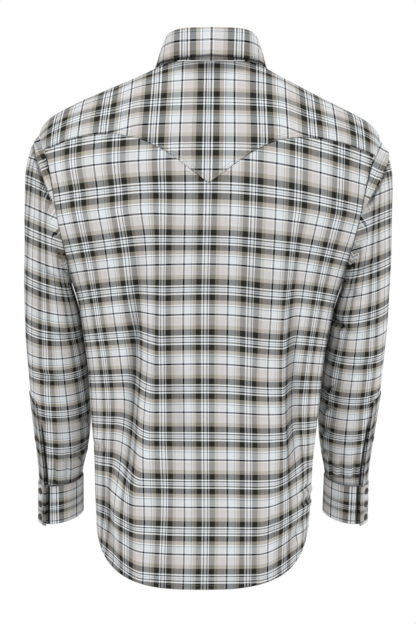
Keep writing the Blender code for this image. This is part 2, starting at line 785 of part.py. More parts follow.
def sleeve_parts(side, turned, axis):
    """A sleeve, the strip beside its slit, its cuff and their snaps."""
    panel(f"sleeve_{side}", ARM_COLUMNS, SLEEVE_ROWS, turned(sleeve_place), axis, CLOTH, plaid,
          welded=True, grows=-1.0)
    slit_rows = SLEEVE_ROWS - SLIT_TOP
    strip = pulled_in(slit_place, SLIT_COLUMNS, slit_rows, bottom=SLIT_END)
    panel(f"sleeve_placket_{side}", SLIT_COLUMNS, slit_rows, turned(strip), axis, CLOTH, plaid)
    panel(f"cuff_{side}", CUFF_COLUMNS, CUFF_ROWS, turned(cuff_place), axis, BAND, plaid)
    middle = axis(CUFF[0][1])
    for number in range(CUFF_SNAPS):
        column = CUFF_COLUMNS - CUFF_SNAP_INSET
        row = CUFF_SNAP_TOP + CUFF_SNAP_STEP * number
        snap(f"snap_cuff_{side}_{number + 1}", turned(cuff_place), column, row, BAND, middle)
    column, row = SLIT_SNAP
    snap(f"snap_sleeve_{side}", turned(strip), column, row, CLOTH, middle)


def unturned(place):
    """The piece on the wearer's left, as it is."""
    return place


# The parts are made here

for old in list(bpy.data.objects):
    bpy.data.objects.remove(old)
shirt = bpy.data.collections.new("Western shirt")
bpy.context.scene.collection.children.link(shirt)
plaid = finish("Plaid cotton", (0.52, 0.52, 0.50), 0.9)
pearl = finish("Pearl snap", (0.06, 0.055, 0.05), 0.25)

yoke_rows = YOKE_FRONT_ROWS + YOKE_ROWS
panel("back", BACK_COLUMNS, BODY_ROWS,
      pulled_in(back_place, BACK_COLUMNS, BODY_ROWS, HALF_SEAM, HALF_SEAM, HALF_SEAM),
      body_axis, CLOTH, plaid)
panel("yoke", BACK_COLUMNS, yoke_rows,
      pulled_in(yoke_place, BACK_COLUMNS, yoke_rows, HALF_ARM, HALF_ARM, HALF_SEAM, HALF_SEAM),
      body_axis, CLOTH, plaid, drop=neck_hole)
panel("front_left", FRONT_COLUMNS, BODY_ROWS,
      pulled_in(front_left_place, FRONT_COLUMNS, BODY_ROWS, right=HALF_SEAM, top=HALF_SEAM),
      body_axis, CLOTH, plaid)
panel("front_right", FRONT_COLUMNS, BODY_ROWS,
      mirrored(pulled_in(front_place, FRONT_COLUMNS, BODY_ROWS, right=HALF_SEAM, top=HALF_SEAM)),
      body_axis, CLOTH, plaid)
panel("front_placket", CLOSING_COLUMNS, BODY_ROWS, placket_place, body_axis, CLOTH, plaid)
panel("collar_stand", len(STAND_TURNS) - 1, STAND_ROWS, stand_place, neck_axis, BAND, plaid)
panel("collar_leaf", len(LEAF_TURNS) - 1, len(LEAF_ROWS) - 1, leaf_place, neck_axis, BAND, plaid)
sleeve_parts("left", unturned, left_sleeve_axis)
sleeve_parts("right", mirrored, right_sleeve_axis)
for number in range(FRONT_SNAPS):
    row = FRONT_SNAP_TOP + FRONT_SNAP_STEP * number
    middle = body_axis(ARM_BOTTOM)
    snap(f"snap_front_{number + 1}", placket_place, FRONT_SNAP_COLUMN, row, CLOTH, middle)
snap("snap_collar", stand_place, *COLLAR_SNAP, BAND, neck_axis(ARM_TOP))
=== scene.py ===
# %% [markdown]
# # A plaid western shirt, filled out as worn
#
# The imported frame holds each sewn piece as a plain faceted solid. Here every cloth piece is
# made again as a thin, finely divided shell on the same worn form. It gets its folds, seams,
# hems and stitches as real shape, and its woven plaid from a map of the flat cut. The snaps
# become turned caps in metal rings. Lengths are in metres and +Z is up. The wearer faces -Y.

import bisect
import json
import math
from functools import lru_cache

import bmesh
import bpy
import numpy as np
from mathutils import Matrix, Vector, noise

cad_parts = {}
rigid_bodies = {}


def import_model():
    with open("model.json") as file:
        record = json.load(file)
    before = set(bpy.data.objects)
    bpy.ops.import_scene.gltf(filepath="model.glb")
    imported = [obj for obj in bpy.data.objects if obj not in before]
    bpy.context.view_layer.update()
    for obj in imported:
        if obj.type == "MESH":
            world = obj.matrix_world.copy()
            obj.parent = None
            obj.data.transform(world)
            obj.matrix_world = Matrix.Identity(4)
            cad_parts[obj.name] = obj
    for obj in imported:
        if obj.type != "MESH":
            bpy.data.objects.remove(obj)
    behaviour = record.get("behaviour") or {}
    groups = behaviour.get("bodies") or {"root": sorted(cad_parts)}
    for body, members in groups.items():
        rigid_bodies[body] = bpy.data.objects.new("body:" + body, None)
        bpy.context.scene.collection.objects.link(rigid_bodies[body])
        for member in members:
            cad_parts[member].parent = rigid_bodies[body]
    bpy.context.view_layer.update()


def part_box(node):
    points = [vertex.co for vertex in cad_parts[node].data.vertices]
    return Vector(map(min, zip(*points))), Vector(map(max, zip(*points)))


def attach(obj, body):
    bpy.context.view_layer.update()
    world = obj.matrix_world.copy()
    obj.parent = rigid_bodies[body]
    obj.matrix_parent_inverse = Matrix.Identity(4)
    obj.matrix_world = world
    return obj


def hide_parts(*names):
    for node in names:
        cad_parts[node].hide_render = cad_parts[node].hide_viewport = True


for old in list(bpy.data.objects):
    bpy.data.objects.remove(old)
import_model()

# %% Adding objects and meshes
def placed(name, data):
    """A new object in the scene."""
    made = bpy.data.objects.new(name, data)
    bpy.context.scene.collection.objects.link(made)
    return made


def mesh_of(name, faces, *materials):
    """A mesh from finished faces, with its materials in their order."""
    mesh = bpy.data.meshes.new(name)
    faces.to_mesh(mesh)
    faces.free()
    for material in materials:
        mesh.materials.append(material)
    return mesh


# %% [markdown]
# ## The camera
#
# A garment is shown from its own height with a long lens, so that its shape isn't distorted.
# The camera stands behind the shirt, because the back is the side with the pointed yoke.

# %% The camera
CAMERA_PLACE = (0.0045, 3.2, -0.368)
LENS = 123.08             # millimetres

camera = placed("camera", bpy.data.cameras.new("camera"))
camera.location = CAMERA_PLACE
camera.rotation_euler = (math.radians(90), 0, math.radians(180))
camera.data.lens = LENS
camera.data.sensor_width = 36
bpy.context.scene.camera = camera
print("camera at", CAMERA_PLACE)

# %% [markdown]
# ## Smooth tables
#
# A loft is described by a few rows of sizes. A helper carries a smooth curve through the rows,
# so that a handful of numbers gives a rounded form with no corners between them.

# %% Smooth tables and soft steps
class Curve:
    """Values along a table, on a smooth line through its rows."""

    def __init__(self, *rows):
        self.rows = sorted(rows)
        self.keys = [row[0] for row in self.rows]
        last = len(rows) - 1
        self.slopes = []
        for index in range(len(rows)):
            low, high = self.rows[max(index - 1, 0)], self.rows[min(index + 1, last)]
            self.slopes.append([(b - a) / (high[0] - low[0]) for a, b in zip(low[1:], high[1:])])

    def __call__(self, key):
        place = min(max(bisect.bisect_right(self.keys, key) - 1, 0), len(self.keys) - 2)
        span = self.keys[place + 1] - self.keys[place]
        part = min(max((key - self.keys[place]) / span, 0.0), 1.0)
        rise = part * part * (3 - 2 * part)
        leave = span * part * (1 - part) ** 2
        arrive = span * part * part * (part - 1)
        low, high = self.rows[place], self.rows[place + 1]
        values = [
            a + (b - a) * rise + m * leave + n * arrive
            for a, b, m, n in zip(low[1:], high[1:], self.slopes[place], self.slopes[place + 1])
        ]
        return values if len(values) > 1 else values[0]


def ease(value, start, end):
    """0 at the start, 1 at the end, with a soft change between them."""
    part = min(max((value - start) / (end - start), 0.0), 1.0)
    return part * part * (3 - 2 * part)


print("half way:", ease(0.5, 0.0, 1.0))

# %% [markdown]
# ## The worn form
#
# The torso is a loft of rounded sections, a little squarer than ellipses. Its half width and
# its reach backwards and forwards come from one table. Broad folds press it in as soft
# troughs. Everything hangs a little to one side, with one shoulder above the other.

# %% The torso
CLOTH = 0.0012            # wall of the cloth
BAND = 0.0016             # wall of the doubled bands
SEAM = 0.0003             # space between two sewn pieces
LEAN = 0.018              # metres aside for each metre down
SHOULDER_RISE = 0.0035
SHOULDER_DROP = 0.0050
SHOULDER_HEIGHTS = (-0.36, -0.14)
SHOULDER_WIDTHS = (0.07, 0.20)
SQUARENESS = 2.2
TORSO = Curve(
    # z, half width, back, front
    (0.006, 0.066, 0.052, 0.036),
    (0.000, 0.075, 0.058, 0.040),
    (-0.014, 0.100, 0.067, 0.046),
    (-0.038, 0.1515, 0.080, 0.059),
    (-0.062, 0.2030, 0.090, 0.074),
    (-0.086, 0.2425, 0.099, 0.088),
    (-0.112, 0.2555, 0.107, 0.101),
    (-0.155, 0.2570, 0.118, 0.117),
    (-0.200, 0.252, 0.124, 0.127),
    (-0.243, 0.239, 0.127, 0.132),
    (-0.306, 0.2085, 0.126, 0.134),
    (-0.350, 0.192, 0.124, 0.133),
    (-0.400, 0.183, 0.122, 0.132),
    (-0.450, 0.175, 0.121, 0.131),
    (-0.510, 0.170, 0.121, 0.130),
    (-0.580, 0.1630, 0.123, 0.130),
    (-0.650, 0.1595, 0.126, 0.131),
    (-0.800, 0.1480, 0.131, 0.133),
)
BACK_FOLDS = (
    # x top, z top, x bottom, z bottom, half width, depth
    (0.120, -0.300, 0.070, -0.560, 0.022, 0.0045),
    (-0.125, -0.310, -0.065, -0.590, 0.024, 0.0050),
    (0.030, -0.520, 0.085, -0.740, 0.020, 0.0035),
    (-0.110, -0.560, -0.135, -0.660, 0.018, 0.0030),
)
FRONT_FOLDS = (
    (0.125, -0.250, 0.080, -0.520, 0.024, 0.0045),
    (-0.120, -0.270, -0.070, -0.500, 0.022, 0.0040),
    (-0.085, -0.520, -0.095, -0.700, 0.020, 0.0035),
)
print("torso rows:", len(TORSO.rows), "broad folds:", len(BACK_FOLDS) + len(FRONT_FOLDS))

# %% A point of the torso
def settled(point):
    """The even form hung as worn: leaning to its left, with one shoulder above the other."""
    high = ease(point.z, *SHOULDER_HEIGHTS) * ease(abs(point.x), *SHOULDER_WIDTHS)
    lift = SHOULDER_RISE if point.x > 0 else -SHOULDER_DROP
    return Vector((point.x - LEAN * point.z, point.y, point.z + lift * high))


def trough(folds, x, z):
    """How deep the broad folds press the cloth in at a place on the torso."""
    depth = 0.0
    for x_top, z_top, x_bottom, z_bottom, half_width, most in folds:
        along = (z_top - z) / (z_top - z_bottom)
        if 0.0 < along < 1.0:
            aside = x - (x_top + (x_bottom - x_top) * along)
            depth += most * math.exp(-(aside / half_width) ** 2) * math.sin(math.pi * along) ** 2
    return depth


def torso(z, turn):
    """The point of the torso at a height, turned from the centre back (0) to the left side (90)."""
    half_width, back, front = TORSO(z)
    side, depth = math.sin(math.radians(turn)), math.cos(math.radians(turn))
    x = math.copysign(half_width * abs(side) ** (2 / SQUARENESS), side)
    fold = trough(BACK_FOLDS if depth > 0 else FRONT_FOLDS, x, z) * abs(depth)
    reach = back if depth > 0 else front
    y = math.copysign((reach - fold) * abs(depth) ** (2 / SQUARENESS), depth)
    return Vector((x, y, z))


def turn_at(z, y):
    """The turn round the torso at which it has this height and depth."""
    reach = TORSO(z)[1 if y > 0 else 2]
    turn = math.degrees(math.acos(min(abs(y) / reach, 1.0) ** (SQUARENESS / 2)))
    return turn if y > 0 else 180.0 - turn


print("chest width:", round(2 * torso(-0.2, 90.0).x, 3))

# %% A point of the shoulders
TORSO_TOP = 0.006
SHOULDERS_END = -0.243
HALVINGS = 18


@lru_cache(maxsize=None)
def shoulder_height(x, y):
    """The height of the shoulders under a place seen from above."""
    high, low = TORSO_TOP, SHOULDERS_END
    for _ in range(HALVINGS):
        middle = (high + low) / 2
        half_width, back, front = TORSO(middle)
        reach = back if y > 0 else front
        if (abs(x) / half_width) ** SQUARENESS + (abs(y) / reach) ** SQUARENESS < 1:
            low = middle
        else:
            high = middle
    return (high + low) / 2


def on_shoulders(x, y):
    """The point of the shoulders under a place seen from above."""
    return Vector((x, y, shoulder_height(x, y)))


print("height of the shoulder's end:", round(shoulder_height(0.2, 0.0), 3))

# %% [markdown]
# ## Seam lines
#
# The neckline is an oval seen from above and the armhole an oval seen from the side, both laid
# on the torso. The seam below the yoke comes to a point at the centre back, as on a western
# shirt. Pieces that meet share these lines, so that their edges agree.

# %% The neckline, armhole and yoke seam
# seen from above: half width, middle, reach backwards and forwards
NECK_HALF_WIDTH = 0.078
NECK_MIDDLE = -0.008
NECK_BACK = 0.066
NECK_FRONT = 0.068
# seen from the side: top, bottom, middle, reach backwards and forwards
ARM_TOP = -0.101
ARM_BOTTOM = -0.322
ARM_MIDDLE = -0.003
ARM_BACK = 0.063
ARM_FRONT = 0.058
ARM_STEP = 15.0           # degrees of armhole for each of the frame's rows
YOKE_SEAM = Curve(
    # x, z
    (0.000, -0.182),
    (0.028, -0.1605),
    (0.060, -0.1375),
    (0.091, -0.1210),
    (0.122, -0.1125),
    (0.155, -0.1105),
    (0.198, -0.1165),
    (0.235, -0.1300),
)
YOKE_REACH = 0.235
YOKE_CORNER = 45.0
YOKE_NECK_END = 120.0


def armhole(turn):
    """The left armhole, turned from its top (0) through the back (90) to the underarm."""
    centre = (ARM_TOP + ARM_BOTTOM) / 2
    z = centre + (ARM_TOP - centre) * math.cos(math.radians(turn))
    sine = math.sin(math.radians(turn))
    return torso(z, turn_at(z, ARM_MIDDLE + (ARM_BACK if sine > 0 else ARM_FRONT) * sine))


def neckline(turn):
    """The neckline, turned from the centre back (0) to the left side (90)."""
    sine, cosine = math.sin(math.radians(turn)), math.cos(math.radians(turn))
    reach = NECK_BACK if cosine > 0 else NECK_FRONT
    return on_shoulders(NECK_HALF_WIDTH * sine, NECK_MIDDLE + reach * cosine)


print("armhole, top to bottom:", round(ARM_TOP - ARM_BOTTOM, 3))

# %% Lines over the shoulders, and the hem
HEM_BACK = -0.768
HEM_FRONT = -0.752
HEM_SIDE = -0.684
HEM_CURVE = 2.6
PATH_STEPS = 24


class Path:
    """A line over the shoulders between two points, walked in equal lengths."""

    def __init__(self, start, end):
        plan = [start.lerp(end, step / PATH_STEPS) for step in range(PATH_STEPS + 1)]
        self.points = [on_shoulders(p.x, p.y) for p in plan]
        self.lengths = [0.0]
        for a, b in zip(self.points, self.points[1:]):
            self.lengths.append(self.lengths[-1] + (b - a).length)

    def at(self, share):
        """The point at a share of the path's whole length."""
        target = self.lengths[-1] * min(max(share, 0.0), 1.0)
        place = min(max(bisect.bisect_right(self.lengths, target) - 1, 0), PATH_STEPS - 1)
        span = self.lengths[place + 1] - self.lengths[place]
        return self.points[place].lerp(self.points[place + 1], (target - self.lengths[place]) / span)


def hem_height(turn, centre):
    """The height of the curved hem, from its centre up to the side seam."""
    return centre + (HEM_SIDE - centre) * (abs(turn) / 90.0) ** HEM_CURVE


print("hem, centre to side seam:", round(hem_height(90.0, HEM_BACK) - HEM_BACK, 3))

# %% [markdown]
# ## The panels' places
#
# Each piece is a flat grid whose columns and rows have a place on the form. The rows and
# columns are counted as in the frame, and values between whole numbers give the fine mesh.

# %% The rows and columns of the back
BACK_COLUMNS = 20
ARM_ROWS = int((180.0 - YOKE_CORNER) / ARM_STEP)
SIDE_ROWS = 8
BODY_ROWS = ARM_ROWS + SIDE_ROWS
BEHIND_SIDE = 0.00001     # keeps the armhole's lowest row on the back's half
SEAM_PASSES = 3


@lru_cache(maxsize=None)
def body_edge(row):
    """Height and turn of a row of the body panels at the armhole or the side seam."""
    if row <= ARM_ROWS:
        point = armhole(YOKE_CORNER + ARM_STEP * row)
        return point.z, turn_at(point.z, max(point.y, BEHIND_SIDE))
    return ARM_BOTTOM + (HEM_SIDE - ARM_BOTTOM) * (row - ARM_ROWS) / SIDE_ROWS, 90.0


@lru_cache(maxsize=None)
def yoke_seam(across):
    """The seam between the yoke and the back, from the centre (0) to the left armhole (1)."""
    corner = body_edge(0)[1]
    x = YOKE_REACH * math.sin(math.radians(corner * abs(across)))
    for _ in range(SEAM_PASSES):
        point = torso(YOKE_SEAM(abs(x)), corner * across)
        x = point.x
    return point


def row_height(top, hem, row, edge_share):
    """The height of a row between a panel's top and its hem, evener towards its middle."""
    edge_top, edge_hem = body_edge(0)[0], body_edge(BODY_ROWS)[0]
    at_edge = (body_edge(row)[0] - edge_top) / (edge_hem - edge_top)
    part = row / BODY_ROWS + (at_edge - row / BODY_ROWS) * edge_share
    return top + (hem - top) * part


def back_place(column, row):
    """A point of the back, columns from the left armhole, rows down to the hem."""
    across = 1.0 - 2.0 * column / BACK_COLUMNS
    top = yoke_seam(across)
    z = row_height(top.z, hem_height(90.0 * across, HEM_BACK), row, across * across)
    return torso(z, body_edge(row)[1] * across)


print("back, seam to hem:", round((back_place(10, 0) - back_place(10, BODY_ROWS)).length, 3))

# %% [markdown]
# ## The yoke's form
#
# The yoke covers both shoulders in one piece. Its grid starts at the front seam, climbs over the
# ridge of the shoulders and ends at the pointed seam on the back, so its rows follow that way.

# %% The paths of the yoke
NECK_COLUMNS = 4
YOKE_ROWS = 6
YOKE_FRONT_ROWS = 3
SIDE_COLUMNS = BACK_COLUMNS // 2 - NECK_COLUMNS


@lru_cache(maxsize=None)
def ridge_path():
    return Path(neckline(90.0), armhole(0.0))


@lru_cache(maxsize=None)
def front_seam_path():
    return Path(neckline(YOKE_NECK_END), armhole(-YOKE_CORNER))


@lru_cache(maxsize=None)
def yoke_paths(index):
    """The paths from the shoulder ridge to the back seam and to the front seam."""
    if index <= NECK_COLUMNS:
        ridge = neckline(90.0 * index / NECK_COLUMNS)
    else:
        ridge = ridge_path().at((index - NECK_COLUMNS) / SIDE_COLUMNS)
    to_back = Path(ridge, yoke_seam(index / (BACK_COLUMNS / 2)))
    to_front = None
    if index >= NECK_COLUMNS:
        to_front = Path(ridge, front_seam_path().at((index - NECK_COLUMNS) / SIDE_COLUMNS))
    return to_back, to_front


print("yoke, neck to point:", round(yoke_paths(0)[0].lengths[-1], 3))

# %% A point of the yoke
EDGE_POWER = 8            # the higher, the fewer columns follow the armhole or the neckline


def yoke_left(index, row):
    """A yoke point from the centre back (0) out to the left armhole, rows from the front seam."""
    over = row - YOKE_FRONT_ROWS
    to_back, to_front = yoke_paths(index)
    outer = (index / (BACK_COLUMNS / 2)) ** EDGE_POWER
    if over >= 0:
        point = to_back.at(over / YOKE_ROWS)
        edge = armhole(YOKE_CORNER * over / YOKE_ROWS)
        side = point.lerp(edge, outer)
        return on_shoulders(side.x, side.y) if 0 < over < YOKE_ROWS else point
    if to_front is None:
        return neckline(90.0 + (YOKE_NECK_END - 90.0) * -over / YOKE_FRONT_ROWS)
    point = to_front.at(-over / YOKE_FRONT_ROWS)
    edge = armhole(YOKE_CORNER * over / YOKE_FRONT_ROWS)
    inner = (1.0 - (index - NECK_COLUMNS) / SIDE_COLUMNS) ** EDGE_POWER
    collar = neckline(90.0 - (YOKE_NECK_END - 90.0) * over / YOKE_FRONT_ROWS)
    side = point.lerp(edge, outer).lerp(collar, inner)
    return on_shoulders(side.x, side.y)


def yoke_place(column, row):
    """A yoke point, columns from the left armhole, rows from the front seam."""
    index = BACK_COLUMNS / 2 - column
    point = yoke_left(abs(index), row)
    return point if index >= 0 else Vector((-point.x, point.y, point.z))


def neck_hole(column, row):
    """Whether a face of the yoke's grid lies where the neck comes through."""
    return abs(column - BACK_COLUMNS / 2) < NECK_COLUMNS and row < YOKE_FRONT_ROWS


print("yoke, middle to armhole:", round(yoke_place(0, YOKE_FRONT_ROWS).x, 3))

# %% [markdown]
# ## The form of the fronts
#
# The two fronts share one form, mirrored, and the left one laps over the right. Its columns stay
# upright at the closing edge and turn with the body towards the side seam.

# %% The fronts and the placket
FRONT_ANGLES = (192.0, 180.0, 168.0, 152.0, 136.0, 120.0)
NECK_SHARE = len(FRONT_ANGLES) - 1
FRONT_COLUMNS = NECK_SHARE + SIDE_COLUMNS
CLOSING_COLUMNS = 2


@lru_cache(maxsize=None)
def front_top(column):
    """A point of the front's upper edge: the neckline, then the yoke's seam."""
    if column <= NECK_SHARE:
        place = min(int(column), NECK_SHARE - 1)
        start, end = FRONT_ANGLES[place], FRONT_ANGLES[place + 1]
        return neckline(start + (end - start) * (column - place))
    return front_seam_path().at((column - NECK_SHARE) / SIDE_COLUMNS)


print("front columns:", FRONT_COLUMNS)

# %% A point of a front
FRONT_STRAIGHT = 0.6      # share of the rows over which a column turns from the neck to the hem
LAP_LIFT = 0.0018
LAP_WIDTHS = (0.018, 0.050)
PLACKET_LIFT = 0.0019


def front_turn(x, z):
    """The turn from the centre front at which the torso is this far from the middle."""
    part = (abs(x) / TORSO(z)[0]) ** (SQUARENESS / 2)
    return math.copysign(math.degrees(math.asin(min(part, 1.0))), x)


def front_place(column, row):
    """A point of a front, columns from the closing edge, rows down to the hem."""
    if column == FRONT_COLUMNS and row <= ARM_ROWS:
        return armhole(-YOKE_CORNER - ARM_STEP * row)
    top = front_top(column)
    if row == 0:
        return top
    edge_share = (column / FRONT_COLUMNS) ** 2
    if column <= CLOSING_COLUMNS:
        z = row_height(top.z, HEM_FRONT, row, edge_share)
        return torso(z, 180.0 - front_turn(top.x, z))
    closing_turn = front_turn(front_top(CLOSING_COLUMNS).x, HEM_FRONT)
    part = (column - CLOSING_COLUMNS) / (FRONT_COLUMNS - CLOSING_COLUMNS)
    low_turn = closing_turn + (90.0 - closing_turn) * part
    z = row_height(top.z, hem_height(low_turn, HEM_FRONT), row, edge_share)
    edge_turn = body_edge(row)[1]
    high_turn = front_turn(top.x, top.z) * edge_turn / body_edge(0)[1]
    share = ease(row, 0, FRONT_STRAIGHT * BODY_ROWS)
    return torso(z, 180.0 - (high_turn + (low_turn * edge_turn / 90.0 - high_turn) * share))


def front_left_place(column, row):
    """The left front, which laps over the right one at the centre."""
    point = front_place(column, row)
    point.y -= LAP_LIFT * (1.0 - ease(point.x, *LAP_WIDTHS))
    return point


def placket_place(column, row):
    """The strip down the left front's closing edge."""
    point = front_left_place(column, row)
    point.y -= PLACKET_LIFT
    return point


closing_edge = front_place(0, 0) - front_place(0, BODY_ROWS)
print("closing edge:", round(closing_edge.length, 3))

# %% [markdown]
# ## The form of the sleeves
#
# A sleeve is a stack of tilted rings. A ring is quick to place by its outer and inner points,
# and a smooth table between the rings keeps the tube even. The cuff is two more rings.

# %% The sleeves and cuffs
SLEEVE = (
    # x out, z out, x in, z in, y, half depth, forward tilt in degrees
    (0.2675, -0.1220, 0.2035, -0.3310, -0.006, 0.0640, 0.0),
    (0.2755, -0.1580, 0.1988, -0.3430, -0.010, 0.0675, 2.0),
    (0.2768, -0.2030, 0.1932, -0.3600, -0.015, 0.0700, 4.0),
    (0.2768, -0.2530, 0.1885, -0.3820, -0.020, 0.0710, 6.0),
    (0.2764, -0.3030, 0.1843, -0.4070, -0.025, 0.0700, 8.0),
    (0.2755, -0.3530, 0.1797, -0.4350, -0.030, 0.0680, 10.0),
    (0.2732, -0.4030, 0.1765, -0.4660, -0.036, 0.0650, 12.0),
    (0.2697, -0.4480, 0.1742, -0.4950, -0.043, 0.0610, 14.0),
    (0.2660, -0.4880, 0.1732, -0.5220, -0.051, 0.0570, 15.0),
    (0.2620, -0.5230, 0.1745, -0.5470, -0.059, 0.0530, 16.0),
    (0.2580, -0.5550, 0.1770, -0.5700, -0.067, 0.0490, 16.0),
    (0.2545, -0.5840, 0.1810, -0.5900, -0.075, 0.0450, 16.0),
    (0.2522, -0.6080, 0.1848, -0.6060, -0.082, 0.0410, 16.0),
    (0.2515, -0.6275, 0.1868, -0.6175, -0.088, 0.0375, 16.0),
)
CUFF = (
    (0.2515, -0.6280, 0.1868, -0.6180, -0.0885, 0.0365, 16.0),
    (0.2520, -0.6880, 0.1865, -0.6740, -0.1050, 0.0370, 16.0),
)
SLEEVE_RINGS = Curve(*[(index, *ring) for index, ring in enumerate(SLEEVE)])
SLEEVE_AXIS = Curve(*[
    ((z_out + z_in) / 2, (x_out + x_in) / 2, y, tilt)
    for x_out, z_out, x_in, z_in, y, _, tilt in SLEEVE
])
SLEEVE_ROWS = len(SLEEVE)
SLEEVE_COLUMNS = int(360 / ARM_STEP)
ARM_GAP = 0.0016
CUFF_LAP_OVER = 55.0
CUFF_LAP_UNDER = 25.0
CUFF_LAP_STARTS = 320.0
CUFF_LAP_LIFT = 0.0021
CUFF_COLUMNS = int((360.0 + CUFF_LAP_OVER - CUFF_LAP_UNDER) / ARM_STEP)
CUFF_ROWS = 2
SLIT_TURN = 45.0
SLIT_COLUMNS = 3
SLIT_TOP = 9
print("sleeve rings:", len(SLEEVE))

# %% A point of a sleeve or a cuff
def ring_point(ring, turn):
    """A point of a sleeve ring, turned from its outer point (0) through the back (90)."""
    x_out, z_out, x_in, z_in, y, half_depth, tilt = ring
    out, inner = Vector((x_out, y, z_out)), Vector((x_in, y, z_in))
    back = Vector((0.0, math.cos(math.radians(tilt)), -math.sin(math.radians(tilt))))
    angle = math.radians(turn)
    middle, reach = (out + inner) / 2, (out - inner) / 2
    return middle + reach * math.cos(angle) + back * half_depth * math.sin(angle)


@lru_cache(maxsize=None)
def sleeve_ring(row):
    return tuple(SLEEVE_RINGS(max(row - 1.0, 0.0)))


def sleeve_place(column, row):
    """A point of the sleeve, columns from the underarm through the back."""
    turn = 180.0 - ARM_STEP * column
    point = ring_point(sleeve_ring(row), turn)
    if row >= 1:
        return point
    edge = armhole(turn)
    under = ((1.0 - math.cos(math.radians(turn))) / 2) ** 2
    edge.x += (CLOTH + 2 * SEAM) * under
    edge += (point - edge).normalized() * ARM_GAP / 2
    return edge.lerp(point, row)


def slit_place(column, row):
    """The strip beside the sleeve's slit, just off the sleeve."""
    return sleeve_place((180.0 - SLIT_TURN) / ARM_STEP + column, min(SLIT_TOP + row, SLEEVE_ROWS))


def cuff_place(column, row):
    """A point of the cuff, whose upper end laps over the lower one."""
    turn = CUFF_LAP_UNDER + ARM_STEP * column
    ring = [top + (bottom - top) * row / CUFF_ROWS for top, bottom in zip(*CUFF)]
    point = ring_point(ring, turn)
    middle = (ring_point(ring, 0.0) + ring_point(ring, 180.0)) / 2
    lift = CUFF_LAP_LIFT * ease(turn, CUFF_LAP_STARTS, 360.0 + CUFF_LAP_UNDER)
    return point + (point - middle).normalized() * lift


print("cuff height:", round((cuff_place(0, 0) - cuff_place(0, CUFF_ROWS)).length, 3))

# %% [markdown]
# ## The form of the collar
#
# The stand rises from the neckline and the leaf folds over it. Both are swept round the neck
# from tables of the fold and the edge, which is easier to steer than bending a flat strip.

# %% Sizes of the stand and the leaf
STAND_OVER_SEAM = 0.0017
STAND_INSIDE = 0.0045
STAND_UNDER = 0.0044
STAND_LAP = 0.0012
STAND_LAP_TURNS = (140.0, 170.0)
STAND_END_DROP = 0.00015
STAND_END = 192.0
STAND_ROWS = 2
COLLAR_END = 168.0
COLLAR_CLEAR = 0.0045
COLLAR_FOLD = Curve(
    # degrees round the neck, x, y, z
    (0.0, 0.000, 0.050, 0.0515),
    (45.0, 0.049, 0.034, 0.0505),
    (90.0, 0.0665, -0.008, 0.0415),
    (120.0, 0.059, -0.039, 0.0215),
    (145.0, 0.040, -0.058, -0.0070),
    (168.0, 0.013, -0.067, -0.0320),
)
COLLAR_EDGE = Curve(
    (0.0, 0.000, 0.0665, 0.0092),
    (45.0, 0.059, 0.044, 0.0052),
    (90.0, 0.0820, -0.008, -0.0012),
    (120.0, 0.086, -0.052, -0.0310),
    (145.0, 0.077, -0.080, -0.0700),
    (168.0, 0.060, -0.108, -0.1170),
)
LEAF_ROWS = Curve(
    # row, share of the way from fold to edge, moved outwards, moved up
    (0.0, 0.00, -0.0036, -0.0031),
    (1.0, 0.00, 0.0000, 0.0000),
    (2.0, 0.08, 0.0022, 0.0000),
    (3.0, 0.35, 0.0022, 0.0000),
    (4.0, 0.70, 0.0012, 0.0000),
    (5.0, 1.00, 0.0000, 0.0000),
)
LEAF_END = 5.0
print("collar fold height:", COLLAR_FOLD(0.0)[2])

# %% A point of the collar
def around_neck(curve, turn):
    """A point of the collar's fold or edge at a turn round the neck."""
    x, y, z = curve(abs(turn))
    return Vector((math.copysign(x, turn), y, z))


def from_neck_axis(point):
    """The level direction away from the middle of the neck."""
    return Vector((point.x, point.y - NECK_MIDDLE, 0.0)).normalized()


def clear_of_torso(point, clearance):
    """Moves a point level outwards until it has this much space to the torso."""
    half_width, back, front = TORSO(point.z)
    reach = back if point.y > 0 else front
    measure = (abs(point.x) / half_width) ** SQUARENESS + (abs(point.y) / reach) ** SQUARENESS
    measure = measure ** (1 / SQUARENESS)
    least = 1.0 + clearance / math.hypot(point.x, point.y)
    if measure < least:
        point.x *= least / measure
        point.y *= least / measure
    return point


def stand_place(turn, row):
    """A point of the collar stand, at a turn round the neck, rows up from the neckline."""
    bottom = neckline(turn)
    bottom.z += STAND_OVER_SEAM
    if abs(turn) <= COLLAR_END:
        fold = around_neck(COLLAR_FOLD, turn)
    else:
        fold = around_neck(COLLAR_FOLD, math.copysign(COLLAR_END, turn))
        fold.x = bottom.x
        fold.z -= STAND_END_DROP * (abs(turn) - COLLAR_END)
    top = fold - from_neck_axis(fold) * STAND_INSIDE
    top.z -= STAND_UNDER
    point = bottom.lerp(top, row / STAND_ROWS)
    lap = ease(abs(turn), *STAND_LAP_TURNS) * math.copysign(STAND_LAP, turn)
    return point + from_neck_axis(point) * lap


def leaf_place(turn, row):
    """A point of the collar leaf, rows from inside the fold to its edge."""
    share, outwards, up = LEAF_ROWS(row)
    fold, edge = around_neck(COLLAR_FOLD, turn), around_neck(COLLAR_EDGE, turn)
    point = fold.lerp(edge, share) + from_neck_axis(fold) * outwards
    point.z += up
    return clear_of_torso(point, COLLAR_CLEAR) if point.z < 0.0 else point


leaf_depth = leaf_place(0.0, 1.0) - leaf_place(0.0, LEAF_END)
print("leaf, fold to edge:", round(leaf_depth.length, 3))
